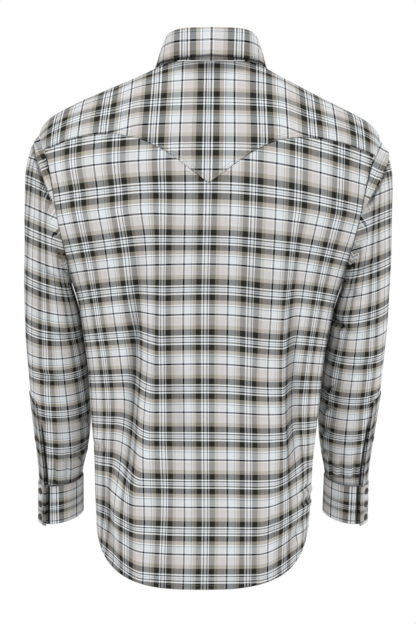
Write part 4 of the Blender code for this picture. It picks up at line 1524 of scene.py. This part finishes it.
# %% The sleeves
WEFT_LEFT = Curve(
    # height along the left sleeve, metres of cloth
    (-0.690, -0.495), (-0.608, -0.385), (-0.5505, -0.308), (-0.4943, -0.231),
    (-0.438, -0.154), (-0.3705, -0.077), (-0.3008, 0.0), (-0.2272, 0.077), (-0.10, 0.215),
)
WEFT_RIGHT = Curve(
    (-0.690, 0.616), (-0.5835, 0.462), (-0.5305, 0.385), (-0.4713, 0.308), (-0.409, 0.231),
    (-0.3424, 0.154), (-0.2682, 0.077), (-0.1966, 0.0), (-0.09, -0.115),
)
SLEEVE_SLOPE = Curve((-0.70, 0.0), (-0.44, 0.0), (-0.37, 0.20), (-0.20, 0.44), (-0.10, 0.44))
CAP_LEFT = Curve(
    # z, how far from the armhole the cap's crease lies
    (-0.215, 0.000), (-0.190, 0.011), (-0.168, 0.0155), (-0.150, 0.0175), (-0.120, 0.0185),
    (-0.100, 0.0180),
)
CAP_RIGHT = Curve((-0.222, 0.000), (-0.183, 0.020), (-0.163, 0.027), (-0.137, 0.033), (-0.110, 0.034))
CAP_SLANT = 0.485         # how far the cap's threads lean out for each length up
CAP_WARP = {"left": -0.2646, "right": -0.3105}
CAP_WEFT = {"left": 0.0712, "right": 0.0042}
SLEEVE_WARP = {"left": 0.0165, "right": 0.006}
CAP_FOLD = 0.0030
CAP_RIDGE = (0.006, 0.005, 0.7)  # distance above the crease, half width, height
CAP_VALLEY = (0.003, 0.004)  # distance below the crease, half width
CAP_FROM_ARMHOLE = (0.002, 0.012)  # the crease's distances over which its fold starts
CAP_FROM_TOP = (0.10, 0.13)
CAP_FROM_FRONT = (-0.02, 0.02)
TILTED_ROWS = (0.6, 2.4)
TILTED_COLUMNS = (7.0, 12.0)
TILT_SHARE = 0.7
CAP_HOLD = 11.4           # from this column on, the cap's threads follow the sleeve round
CAP_ENDS = (12.0, 14.6)   # the columns over which the cap's crease runs out
LEFT_CREASES = (
    # arc from the middle of the back, z, then the same at the end, half width, depth
    (0.040, -0.300, -0.060, -0.330, 0.0060, 0.0026),
    (0.030, -0.385, -0.062, -0.412, 0.0060, 0.0026),
    (0.050, -0.455, -0.030, -0.478, 0.0070, 0.0026),
    (-0.075, -0.535, -0.024, -0.527, 0.0042, 0.0030),
    (-0.072, -0.568, -0.020, -0.578, 0.0042, 0.0030),
    (-0.062, -0.604, -0.018, -0.580, 0.0036, 0.0030),
    (-0.012, -0.570, -0.010, -0.640, 0.0036, 0.0026),
    (0.010, -0.575, 0.009, -0.640, 0.0036, 0.0026),
    (0.090, -0.470, 0.150, -0.500, 0.0060, 0.0028),
    (0.100, -0.575, 0.100, -0.640, 0.0036, 0.0026),
)
RIGHT_CREASES = (
    (0.040, -0.290, -0.055, -0.315, 0.0060, 0.0026),
    (-0.130, -0.370, 0.010, -0.4025, 0.0050, 0.0054),
    (-0.060, -0.330, 0.000, -0.350, 0.0060, 0.0030),
    (0.050, -0.440, -0.020, -0.462, 0.0070, 0.0024),
    (-0.078, -0.489, -0.020, -0.476, 0.0042, 0.0030),
    (-0.078, -0.518, -0.016, -0.508, 0.0042, 0.0034),
    (-0.076, -0.552, -0.020, -0.546, 0.0042, 0.0034),
    (-0.070, -0.574, -0.018, -0.588, 0.0036, 0.0032),
    (-0.030, -0.572, -0.028, -0.640, 0.0036, 0.0028),
    (-0.010, -0.570, -0.010, -0.640, 0.0036, 0.0028),
    (0.012, -0.575, 0.010, -0.640, 0.0036, 0.0026),
    (0.095, -0.480, 0.150, -0.500, 0.0060, 0.0028),
    (0.110, -0.575, 0.110, -0.640, 0.0036, 0.0026),
)
print("sleeve creases:", len(LEFT_CREASES), "left and", len(RIGHT_CREASES), "right")

# %% The threads and the cap of a sleeve
def sleeve_axis(points, what):
    """The middle line of the sleeve beside each point."""
    return each(lambda height: SLEEVE_AXIS(height)[what], points[..., 2])


def threads_round(grid, rows, columns, arc, mid_back):
    """The cloth's length round the arm. At the back of the tilted upper rows the level part counts more."""
    steps = np.hypot(np.diff(grid[..., 0], axis=1), np.diff(grid[..., 1], axis=1))
    level = np.concatenate([np.zeros((len(grid), 1)), np.cumsum(steps, axis=1)], axis=1)
    level = level - level[:, mid_back:mid_back + 1]
    share = TILT_SHARE * (1.0 - soft(rows, *TILTED_ROWS))[:, None] * (1.0 - soft(columns, *TILTED_COLUMNS))
    return arc + (level - arc) * share


def cap_line(grid, columns, side):
    """How far below the armhole the crease of the cap runs."""
    line = each(CAP_RIGHT if side == "right" else CAP_LEFT, grid[..., 2])
    return line * (1.0 - soft(columns, *CAP_ENDS))


def sleeve_map(grid, columns, arc, down, side):
    """The sleeve's map: along its length, and turned with the cap above the cap's crease."""
    back_line = grid[:, np.argmin(np.abs(arc[0])), 1][:, None]
    forward = (grid[..., 1] - back_line) * np.tan(np.radians(sleeve_axis(grid, 2)))
    outer = grid[..., 0] - sleeve_axis(grid, 0)
    height = grid[..., 2] + forward - each(SLEEVE_SLOPE, grid[..., 2]) * outer
    weft = each(WEFT_RIGHT if side == "right" else WEFT_LEFT, height)
    warp = arc + SLEEVE_WARP[side]
    scale = 1.0 / math.hypot(1.0, CAP_SLANT)
    leaning = (grid[..., 0] - CAP_SLANT * grid[..., 2] + CAP_WARP[side]) * scale
    rising = (grid[..., 2] + CAP_SLANT * grid[..., 0]) * scale
    rising = rising * (-1.0 if side == "right" else 1.0) + CAP_WEFT[side]
    hold = np.searchsorted(columns, CAP_HOLD)
    leaning[:, hold:] = leaning[:, hold:hold + 1] + arc[:, hold:] - arc[:, hold:hold + 1]
    rising[:, hold:] = rising[:, hold:hold + 1]
    cap = down < cap_line(grid, columns, side)
    return np.stack([np.where(cap, leaning, warp), np.where(cap, rising, weft)], axis=-1)


def cap_fold(grid, columns, down, side):
    """The fold along the crease of the cap: a valley outside it and a ridge inside it."""
    line = cap_line(grid, columns, side)
    past = down - line
    ridge = np.exp(-(((past + CAP_RIDGE[0]) / CAP_RIDGE[1]) ** 2)) * CAP_RIDGE[2]
    shape = ridge - np.exp(-(((past - CAP_VALLEY[0]) / CAP_VALLEY[1]) ** 2))
    fold = shape * soft(line, *CAP_FROM_ARMHOLE) * soft(-grid[..., 2], *CAP_FROM_TOP)
    return fold * soft(grid[..., 1], *CAP_FROM_FRONT)


print("the cap's threads lean by degrees:", round(math.degrees(math.atan(CAP_SLANT)), 1))

# %% The sleeves in cloth
SLEEVE_POINTS = 121
SLEEVE_STEPS = 150
FINE_COLUMNS = (-0.5, 0.3, 0.06)  # extra columns beside the slit strip: from, to, apart
GAP_DEPTH = 0.0014
GAP_HALF = 0.0036
GAP_RUNS_OUT = (-0.548, -0.522)  # the heights between which it fades
GAP_SHADE = 0.97
END_SHADE = 0.70
END_REACH = 0.0120
CAP_SHADE = {"left": 0.27, "right": 0.38}
SLEEVE_FOLD_SHADE = 0.75
ARM_SEAM_REACH = 0.0020
SLEEVE_WAVE = (0.0010, 0.055)
CALM_ENDS = (0.012, 0.006)  # how far from its upper and lower end a sleeve keeps smooth
sleeve_maps = {}


def sleeve_piece(side, right, seed):
    """One sleeve, with its seam closed under the arm."""
    strip = (180.0 - SLIT_TURN) / ARM_STEP
    first, last, apart = FINE_COLUMNS
    even = np.linspace(0.0, SLEEVE_COLUMNS, SLEEVE_POINTS)
    columns = np.array(sorted({*even.round(4), *np.arange(strip + first, strip + last, apart).round(4)}))
    rows = closer_at_ends(SLEEVE_ROWS, SLEEVE_STEPS)
    grid = lay(columns, rows, sleeve_place)
    middle = grid.mean(axis=1, keepdims=True) * np.ones_like(grid)
    out = outward_normals(grid, middle, closed=True)
    over, down = lengths_along(grid, 1), lengths_along(grid, 0)
    mid_back = np.searchsorted(columns, 90.0 / ARM_STEP)
    arc = over - over[:, mid_back:mid_back + 1]
    relief = creases(arc, grid[..., 2], RIGHT_CREASES if right else LEFT_CREASES)
    cap = cap_fold(grid, columns, down, side)
    relief = relief + SLEEVE_WAVE[0] * slow_wave(grid, SLEEVE_WAVE[1], seed) + CAP_FOLD * cap
    relief = relief * soft(down, 0.0, CALM_ENDS[0]) * soft(down[-1:] - down, 0.0, CALM_ENDS[1])
    edge = arc - arc[:, np.searchsorted(columns, strip)][:, None] + GAP_HALF
    # the slit's dark line: a shallow groove, with painted shade along it
    groove_and_shade_line = groove(edge, GAP_HALF) * (1.0 - soft(grid[..., 2], *GAP_RUNS_OUT))
    folds = SLEEVE_FOLD_SHADE * valley(relief, FOLD_DEPTH)
    folds = folds + CAP_SHADE[side] * valley(cap, 1.0)
    upper_end = SEAM_SHADE * beside(down, ARM_SEAM_REACH)
    ends = np.maximum(upper_end, END_SHADE * beside(down[-1:] - down, END_REACH))
    shade = np.maximum(np.maximum(folds, ends), GAP_SHADE * groove_and_shade_line)
    relief = relief - GAP_DEPTH * groove_and_shade_line
    relief[:, -1], shade[:, -1] = relief[:, 0], shade[:, 0]
    points = grid + out * relief[..., None]
    cut = sleeve_map(grid, columns, threads_round(grid, rows, columns, arc, mid_back), down, side)
    sleeve_maps[side] = (columns, rows, cut)
    if right:
        points = mirrored(points)
    return cloth_piece(f"cloth_sleeve_{side}", f"sleeve_{side}", points, cut, shade, WALL,
                       closed=True)


sleeve_piece("left", right=False, seed=11)
sleeve_piece("right", right=True, seed=13)

# %% [markdown]
# ## The cuffs and slit strips
#
# Each cuff is a double band that laps over itself at the snaps. The lap stands a little off the
# cloth beneath, and beside it the cloth sinks a little. The dark line there is painted shade.

# %% The cuffs
CUFF_WARP = Curve(
    # share of the way down, metres of cloth
    (0.000, -0.0140), (0.177, 0.0000), (0.420, 0.0193), (0.708, 0.0477), (0.910, 0.0670), (1.000, 0.0750),
)
CUFF_WEFT = {
    # length round the cuff from its navy line, metres of cloth
    "left": Curve((-0.30, -0.32), (-0.0387, -0.0417), (-0.0271, -0.0293), (-0.0205, -0.0209),
                  (0.0, 0.0), (0.20, 0.21)),
    "right": Curve((-0.30, -0.32), (-0.0380, -0.0396), (-0.0282, -0.0296), (-0.0201, -0.0210),
                   (0.0, 0.0), (0.20, 0.20)),
}
CUFF_NAVY = {"left": 137.0, "right": 132.4}  # where that line runs, in degrees
CUFF_FLARE = 0.0018
CUFF_TIP = 0.0012
CUFF_GAP_HALF = 0.0026
LAP_SHADE = 0.18
BAND_WALL = 0.0013
STRIP_WARP = 0.012
STRIP_SLOPE = 0.25
LAP_EDGE = 2.0            # columns from the cuff's lower end to the edge that laps over it
CUFF_DOWN_STEPS = 24
FLARE_REACH = 0.013
TIP_REACH = 0.014
LAP_SHADE_REACH = 0.020


def cuff_piece(side, right):
    """One cuff, whose upper end laps over the lower one."""
    columns = closer_at_ends(CUFF_COLUMNS, ACROSS_STEPS)
    grid = lay(columns, closer_at_ends(CUFF_ROWS, CUFF_DOWN_STEPS), cuff_place)
    middle = grid.mean(axis=1, keepdims=True) * np.ones_like(grid)
    out = outward_normals(grid, middle)
    over, down = lengths_along(grid, 1), lengths_along(grid, 0)
    navy = (CUFF_NAVY[side] - CUFF_LAP_UNDER) / ARM_STEP
    start = np.array([np.interp(navy, columns, row) for row in over])[:, None]
    to_end = over[:, -1:] - over
    edge = np.array([np.interp(LAP_EDGE, columns, row) for row in over])[:, None] + CUFF_GAP_HALF
    # the dark line beside the lap: a shallow groove, with painted shade along it
    groove_and_shade_line = GAP_DEPTH * groove(over - edge, CUFF_GAP_HALF)
    flare = CUFF_FLARE * (1.0 - soft(to_end, 0.0, FLARE_REACH))
    points = grid + out * (BAND + flare - groove_and_shade_line)[..., None]
    points[..., 2] -= CUFF_TIP * (1.0 - soft(to_end, 0.0, TIP_REACH)) * (down / down[-1:]) ** 2
    inward = each(CUFF_WEFT[side], over - start)
    shade = np.maximum(GAP_SHADE * groove_and_shade_line / GAP_DEPTH, LAP_SHADE * beside(to_end, LAP_SHADE_REACH))
    cut = np.stack([each(CUFF_WARP, down / down[-1:]), inward if right else -inward], axis=-1)
    if right:
        points = mirrored(points)
    return cloth_piece(f"cloth_cuff_{side}", f"cuff_{side}", points, cut, shade, BAND_WALL)


print("navy lines on the cuffs, in degrees:", CUFF_NAVY)

# %% The strips beside the slits, and both cuffs
SLIT_STEPS = (20, 60)
SLIT_LIFT = 0.0006
SLIT_EDGE_LIFT = 0.0010
SLIT_EDGE_REACH = 0.004


def slit_strip(side, right):
    """The narrow strip that finishes the slit above a cuff."""
    rows = closer_at_ends(SLEEVE_ROWS - SLIT_TOP, SLIT_STEPS[1])
    grid = lay(closer_at_ends(SLIT_COLUMNS, SLIT_STEPS[0]), rows, slit_place)
    middle = np.stack([sleeve_axis(grid, 0), sleeve_axis(grid, 1), grid[..., 2]], axis=-1)
    out = outward_normals(grid, middle)
    over = lengths_along(grid, 1)
    raised = CLOTH + SLIT_LIFT + SLIT_EDGE_LIFT * (1.0 - soft(over, 0.0, SLIT_EDGE_REACH))
    points = grid + out * raised[..., None]
    columns, sleeve_rows, sleeve_cut = sleeve_maps[side]
    under = np.searchsorted(columns, (180.0 - SLIT_TURN) / ARM_STEP)
    weft = np.interp(SLIT_TOP + rows, sleeve_rows, sleeve_cut[:, under, 1])[:, None]
    slope = each(SLEEVE_SLOPE, grid[..., 2]) + STRIP_SLOPE
    cut = np.stack([over + STRIP_WARP, weft - slope * over * (-1 if right else 1)], axis=-1)
    if right:
        points = mirrored(points)
    return cloth_piece(f"cloth_sleeve_placket_{side}", f"sleeve_placket_{side}", points,
                       cut, LAP_SHADE * np.ones_like(over), WALL)


for side, right in (("left", False), ("right", True)):
    cuff_piece(side, right)
    slit_strip(side, right)

# %% [markdown]
# ## The collar
#
# The collar is cut across the grain. Its lower edge is turned under, as on a sewn leaf.

# %% The collar
COLLAR_SPREAD = 0.93
COLLAR_LINE = 0.0262      # how far below the fold a navy line runs
COLLAR_EASE = 0.86
EDGE_TUCK = 0.0014
TUCK_REACH = 0.0035
EDGE_SHADE = 0.90
COLLAR_POINTS = 181
STAND_STEPS = 20
LEAF_STEPS = 48


def collar_piece(name, node, place, turns, rows):
    """The stand or the leaf, from the left end round the back to the right end."""
    grid = lay(turns, rows, place)
    out = outward_normals(grid, upright_middle(grid, NECK_MIDDLE))
    to_edge = lengths_along(grid, 0)[-1:] - lengths_along(grid, 0)
    tuck = EDGE_TUCK * (1.0 - soft(to_edge, 0.0, TUCK_REACH)) ** 2
    points = grid + out * (BAND - tuck)[..., None]
    shade = EDGE_SHADE * beside(to_edge, SEAM_REACH)
    return cloth_piece(name, node, points, cut_collar(grid), shade, BAND_WALL)


def cut_collar(grid):
    """The collar's map, cut across the grain like the yoke."""
    over, down = lengths_along(grid, 1), lengths_along(grid, 0)
    middle = over.shape[1] // 2
    arc = over - over[:, middle:middle + 1]
    return np.stack([(COLLAR_LINE - down) * COLLAR_EASE, arc * COLLAR_SPREAD], axis=-1)


collar_piece("cloth_collar_stand", "collar_stand", stand_place,
             np.linspace(STAND_END, -STAND_END, COLLAR_POINTS), closer_at_ends(STAND_ROWS, STAND_STEPS))
collar_piece("cloth_collar_leaf", "collar_leaf", leaf_place,
             np.linspace(COLLAR_END, -COLLAR_END, COLLAR_POINTS), closer_at_ends(LEAF_END, LEAF_STEPS))

# %% [markdown]
# ## The pearl snaps
#
# A western shirt closes with snaps. Each has a cap of dark pearl held in a metal ring. The cap
# is turned from a short profile, so one profile serves for all sixteen, and each stands where
# its frame part stands, square to the cloth under it.

# %% Pearl and metal
pearl = Finish("dark pearl")
position = pearl.node("ShaderNodeTexCoord").outputs["Object"]
swirl = pearl.node("ShaderNodeTexNoise", values={"Vector": position, "Scale": 260.0, "Distortion": 2.2})
pearl_colours = pearl.node(
    "ShaderNodeValToRGB",
    {"stops": [(0.32, (0.008, 0.006, 0.006)), (0.55, (0.032, 0.014, 0.013)), (0.75, (0.12, 0.070, 0.064))]},
    {"Fac": swirl.outputs["Fac"]},
)
pearl.put(pearl.shader.inputs["Base Color"], pearl_colours.outputs["Color"])
pearl.plain(Roughness=0.26, Coat_Weight=0.35)

ring_metal = Finish("snap ring")
grain = ring_metal.node("ShaderNodeTexNoise", values={
    "Vector": ring_metal.node("ShaderNodeTexCoord").outputs["Object"], "Scale": 900.0,
})
wear = Level(ring_metal, grain.outputs["Fac"])
ring_metal.put(ring_metal.shader.inputs["Roughness"], wear * 0.20 + 0.22)
ring_metal.plain(Base_Color=(0.11, 0.09, 0.085, 1.0), Metallic=1.0)
print("snap finishes:", pearl.material.name, ring_metal.material.name)

# %% [markdown]
# ## Placing the snaps
#
# The cap could be copied from one object, but every snap is its own part, so each gets a mesh
# from the same profile. It is spun in a few steps, since it is only a few millimetres wide.

# %% Where a snap sits
CUFF_SNAPS = (24.5, (0.30, 0.98, 1.66))    # column, rows on the cuff
FRONT_SNAPS = (1.0, tuple(1.0 + 2.1 * number for number in range(7)))
SLIT_SNAP = (1.5, 2.0)
COLLAR_SNAP = (1.5, 1.0)
STAND_STEP = 12.0         # degrees of neckline for each column of the stand


def spot(place, column, row, wall, middle):
    """Where a snap sits on a grid: the point on its outer face, and the way that faces."""
    low_column, low_row = math.floor(column), math.floor(row)
    corners = [place(low_column + right, low_row + down) for down in (0, 1) for right in (0, 1)]
    upper = corners[0].lerp(corners[1], column - low_column)
    lower = corners[2].lerp(corners[3], column - low_column)
    normal = (corners[3] - corners[0]).cross(corners[2] - corners[1]).normalized()
    point = upper.lerp(lower, row - low_row)
    if normal.dot(point - middle) < 0:
        normal = -normal
    return point + normal * (wall + SEAM), normal


print("snaps down the front:", len(FRONT_SNAPS[1]), "on each cuff:", len(CUFF_SNAPS[1]))

# %% A snap's cap
# distance from the axis, height
RING_PROFILE = ((0.0042, 0.0017), (0.0050, 0.0016), (0.0054, 0.0008), (0.0053, 0.0000))
PEARL_PROFILE = ((0.0000, 0.0022), (0.0026, 0.0020), (0.0042, 0.0014))
SNAP_STEPS = 12
CAP_MERGE = 0.00001
CAP_MIDDLE = 0.0011       # height of a cap's middle above the cloth


def turned_profile(cap, profile, material_index):
    """Spins a profile round the cap's axis."""
    verts = [cap.verts.new((radius, 0.0, height)) for radius, height in profile]
    edges = [cap.edges.new(pair) for pair in zip(verts, verts[1:])]
    before = set(cap.faces)
    bmesh.ops.spin(cap, geom=verts + edges, axis=(0, 0, 1), cent=(0, 0, 0), angle=2 * math.pi,
                   steps=SNAP_STEPS, use_merge=True)
    for face in set(cap.faces) - before:
        face.material_index = material_index
        face.smooth = True


def cap_mesh():
    """A new mesh of a cap, standing at the origin and facing up."""
    cap = bmesh.new()
    turned_profile(cap, PEARL_PROFILE, 0)
    turned_profile(cap, RING_PROFILE, 1)
    bmesh.ops.remove_doubles(cap, verts=cap.verts, dist=CAP_MERGE)
    bmesh.ops.recalc_face_normals(cap, faces=cap.faces)
    if sum(face.normal.z for face in cap.faces) < 0:
        bmesh.ops.reverse_faces(cap, faces=cap.faces)
    return mesh_of("snap cap", cap, pearl.material, ring_metal.material)


def snap_cap(node, point, normal):
    """One cap in its frame part's place."""
    mesh = cap_mesh()
    turn = Vector((0.0, 0.0, 1.0)).rotation_difference(normal).to_matrix().to_4x4()
    mesh.transform(Matrix.Translation(settled(point)) @ turn)
    piece = placed(f"pearl_{node}", mesh)
    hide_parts(node)
    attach(piece, "root")
    low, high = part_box(node)
    off = settled(point) + normal * CAP_MIDDLE - (Vector(low) + Vector(high)) / 2
    return off.length


print("a cap is this wide, in mm:", round(2000 * RING_PROFILE[2][0], 1))

# %% The snaps in their places
def on_side(place, right):
    """The same grid on the wearer's left, or mirrored onto the right."""
    def other(column, row):
        point = place(column, row)
        return Vector((-point.x, point.y, point.z)) if right else point
    return other


def stand_at(column, row):
    """The stand by whole columns from its left end."""
    return stand_place(STAND_END - STAND_STEP * column, row)


offs = []
for side, right in (("left", False), ("right", True)):
    x_out, z_out, x_in, z_in, y, _, _ = CUFF[0]
    middle = Vector(((x_out + x_in) / 2 * (-1 if right else 1), y, (z_out + z_in) / 2))
    for number, row in enumerate(CUFF_SNAPS[1]):
        place = spot(on_side(cuff_place, right), CUFF_SNAPS[0], row, BAND, middle)
        offs.append(snap_cap(f"snap_cuff_{side}_{number + 1}", *place))
    place = spot(on_side(slit_place, right), *SLIT_SNAP, CLOTH, middle)
    offs.append(snap_cap(f"snap_sleeve_{side}", *place))
for number, row in enumerate(FRONT_SNAPS[1]):
    place = spot(placket_place, FRONT_SNAPS[0], row, CLOTH, Vector((0.0, 0.0, ARM_BOTTOM)))
    offs.append(snap_cap(f"snap_front_{number + 1}", *place))
neck_middle = Vector((0.0, NECK_MIDDLE, 0.0))
offs.append(snap_cap("snap_collar", *spot(stand_at, *COLLAR_SNAP, BAND, neck_middle)))
print("caps off their places by, in mm:", [round(1000 * off, 2) for off in offs])

# %% [markdown]
# ## Stitches
#
# Topstitching holds the edges flat. Every stitch is its own short rounded thread lying in the
# groove beside the edge, laid along the hung piece so that it follows the folds. The thread is
# pale grey, as on the cloth's light yarns.

# %% The thread
thread = Finish("sewing thread")
ply = thread.node("ShaderNodeTexNoise", values={
    "Vector": thread.node("ShaderNodeTexCoord").outputs["Object"], "Scale": 2400.0,
})
thread_colours = thread.node(
    "ShaderNodeValToRGB",
    {"stops": [(0.35, linear(138, 140, 142)), (0.65, linear(184, 187, 190))]},
    {"Fac": ply.outputs["Fac"]},
)
thread.put(thread.shader.inputs["Base Color"], thread_colours.outputs["Color"])
thread.plain(Roughness=0.7)
print("thread finish:", thread.material.name)

# %% Stitches along a line
STITCH_STEP = 0.0032
STITCH_SIZE = (0.00125, 0.00028, 0.00022)
STITCH_SIDES = (6, 4)     # faces round a stitch and up it
STITCH_TRIM = 0.003       # free at both ends of a seam
STITCH_AHEAD = 0.001
STITCH_RAISED = 0.3       # share of its half height that a stitch's middle stands out


def line_beside(name, edge, inset, last=None):
    """Points and normals on a piece's face, this far inside one of its edges."""
    _, hung, _, _ = hung_faces[name]
    middle = hung.mean(axis=1, keepdims=True) * np.ones_like(hung)
    normals = outward_normals(hung, middle)
    if edge in ("left", "right"):
        hung, normals = hung.swapaxes(0, 1), normals.swapaxes(0, 1)
    if edge in ("hem", "right"):
        hung, normals = hung[::-1], normals[::-1]
    hung, normals = hung[:, :last], normals[:, :last]
    lengths = lengths_along(hung, 0)
    line, facing = (
        np.array([[np.interp(inset, lengths[:, j], values[:, j, k]) for k in range(3)]
                  for j in range(values.shape[1])])
        for values in (hung, normals)
    )
    return line, facing


def add_stitches(seams, line, facing):
    """Lays stitches along a line, leaving its two ends free."""
    steps = np.linalg.norm(np.diff(line, axis=0), axis=1)
    along = np.concatenate([[0.0], np.cumsum(steps)])
    at = np.arange(STITCH_TRIM, along[-1] - STITCH_TRIM, STITCH_STEP)
    points = np.stack([np.interp(at, along, line[:, k]) for k in range(3)], axis=1)
    ahead = np.stack([np.interp(at + STITCH_AHEAD, along, line[:, k]) for k in range(3)], axis=1)
    ways = np.stack([np.interp(at, along, facing[:, k]) for k in range(3)], axis=1)
    round_it, up_it = STITCH_SIDES
    for point, following, way in zip(points, ahead, ways):
        run = (Vector(following) - Vector(point)).normalized()
        side = Vector(way).cross(run).normalized()
        up = run.cross(side)
        turn = Matrix((run, side, up)).transposed().to_4x4()
        place = Matrix.Translation(Vector(point) + up * STITCH_SIZE[2] * STITCH_RAISED) @ turn
        place = place @ Matrix.Diagonal((*STITCH_SIZE, 1.0))
        bmesh.ops.create_uvsphere(seams, u_segments=round_it, v_segments=up_it, radius=1.0, matrix=place)


print("stitches in a metre:", round(1 / STITCH_STEP))

# %% All the stitches of a piece
FACE_STRIDE = 10 ** 6     # more than the numbers of a face's points come to


def face_order(face):
    """A number that puts the faces in the order of their points."""
    numbers = [vertex.index for vertex in face.verts]
    return min(numbers) * FACE_STRIDE + sum(numbers)


def stitches(name, rows):
    """All the stitches of a piece, as one object."""
    seams = bmesh.new()
    for edge, inset, last in rows:
        add_stitches(seams, *line_beside(f"cloth_{name}", edge, inset, last))
    seams.verts.index_update()
    seams.faces.sort(key=face_order)
    mesh = mesh_of(f"stitches_{name}", seams, thread.material)
    mesh.shade_smooth()
    piece = placed(f"stitches_{name}", mesh)
    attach(piece, "root")
    print(name, "stitches:", len(mesh.polygons) // math.prod(STITCH_SIDES))
    return piece


print("faces of a stitch:", math.prod(STITCH_SIDES))

# %% The stitches of every piece
HEM_STITCH = WELT - STITCH_INSET
EDGE_STITCH = 0.0022
SECOND_STITCH = 0.0065
FRONT_STITCH = 0.0040
LEAF_STITCH = 0.0060
CUFF_STITCH = 0.0050

arm_last = int(np.searchsorted(rows_down, ARM_ROWS))
sewing = {
    # the edge, how far inside it, and where along the edge it ends
    "back": [("hem", HEM_STITCH, None), ("left", EDGE_STITCH, arm_last), ("right", EDGE_STITCH, arm_last)],
    "yoke": [("hem", EDGE_STITCH, None), ("hem", SECOND_STITCH, None)],
    "front_left": [("hem", HEM_STITCH, None), ("right", EDGE_STITCH, arm_last)],
    "front_right": [("hem", HEM_STITCH, None), ("right", EDGE_STITCH, arm_last)],
    "front_placket": [("left", FRONT_STITCH, None), ("right", FRONT_STITCH, None)],
    "collar_leaf": [("hem", LEAF_STITCH, None)],
    "collar_stand": [("top", EDGE_STITCH, None)],
}
for side in ("left", "right"):
    sewing[f"cuff_{side}"] = [
        ("top", EDGE_STITCH, None), ("hem", CUFF_STITCH, None), ("right", FRONT_STITCH, None),
    ]
    sewing[f"sleeve_placket_{side}"] = [(edge, EDGE_STITCH, None) for edge in ("left", "right", "top")]
sewn = {f"cloth_{name}": stitches(name, rows) for name, rows in sewing.items()}

# %% [markdown]
# ## The cut of the cloth
#
# Every piece is a sheet cut flat and then sewn and worn. Its size along and across its grid
# gives the flat cut, and its own area is the cut's area.

# %% The sheets
HELD = {
    "cloth_yoke": ("draped", []), "cloth_back": ("hung", ["cloth_yoke"]),
    "cloth_front_left": ("hung", ["cloth_yoke"]), "cloth_front_right": ("hung", ["cloth_yoke"]),
    "cloth_front_placket": ("laid", ["cloth_front_left"]),
    "cloth_sleeve_left": ("hung", ["cloth_yoke", "cloth_back"]),
    "cloth_sleeve_right": ("hung", ["cloth_yoke", "cloth_back"]),
    "cloth_sleeve_placket_left": ("laid", ["cloth_sleeve_left"]),
    "cloth_sleeve_placket_right": ("laid", ["cloth_sleeve_right"]),
    "cloth_cuff_left": ("folded", ["cloth_sleeve_left"]),
    "cloth_cuff_right": ("folded", ["cloth_sleeve_right"]),
    "cloth_collar_stand": ("folded", ["cloth_yoke"]),
    "cloth_collar_leaf": ("folded", ["cloth_collar_stand"]),
}
for name, (held, below) in HELD.items():
    piece, _, flat, area = hung_faces[name]
    min(area, flat[0] * flat[1])
    print(name, "flat:", [round(v, 3) for v in flat], "area:", round(area, 4))

# %% [markdown]
# ## Floor and light
#
# A pale floor well below the hem and a white surround give soft light without hard shadows.

# %% Floor and light
FILL_BELOW = 0.30         # the surround's light from below and from above
FILL_ABOVE = 0.74
FLOOR_SIZE = 4.6
FLOOR_HEIGHT = -1.30
LIGHTS = (
    # name, place, aim, size, power in watts
    ("key", (1.9, 2.1, 1.5), (0.0, 0.0, -0.30), 1.2, 35),
    ("fill", (-0.5, 3.2, 1.3), (0.0, 0.0, -0.20), 1.6, 12),
    ("front", (-1.2, -2.4, 1.0), (0.0, 0.0, -0.35), 1.4, 26),
    ("side", (-2.5, 0.45, 0.1), (-0.1, 0.0, -0.35), 0.9, 15),
)

bpy.ops.mesh.primitive_plane_add(size=FLOOR_SIZE, location=(0.0, 0.0, FLOOR_HEIGHT))
floor = bpy.context.object
floor.name = "floor"
floor_finish = Finish("pale floor")
floor_finish.plain(Base_Color=(0.80, 0.80, 0.80, 1.0), Roughness=0.9)
floor.data.materials.append(floor_finish.material)

world = bpy.data.worlds.new("white surround")
bpy.context.scene.world = world
world.use_nodes = True
surround = Nodes(world.node_tree)
backdrop = world.node_tree.nodes["Background"]
seen = Level(surround, surround.node("ShaderNodeLightPath").outputs["Is Camera Ray"])
surround.put(backdrop.inputs["Color"], (1.0, 1.0, 1.0, 1.0))
direction = surround.node("ShaderNodeTexCoord").outputs["Generated"]
height = surround.node("ShaderNodeSeparateXYZ", values={"Vector": direction}).outputs["Z"]
fill = (Level(surround, height) * 0.5 + 0.5) * (FILL_ABOVE - FILL_BELOW) + FILL_BELOW
surround.put(backdrop.inputs["Strength"], seen + (1.0 - seen) * fill)
bpy.context.scene.view_settings.view_transform = "Standard"


def soft_light(name, place, aim, size, power):
    """A large square light turned towards a place."""
    lamp = bpy.data.lights.new(name, "AREA")
    lamp.size = size
    lamp.energy = power
    light = placed(name, lamp)
    light.location = place
    light.rotation_euler = (Vector(aim) - Vector(place)).to_track_quat("-Z", "Y").to_euler()


for light in LIGHTS:
    soft_light(*light)
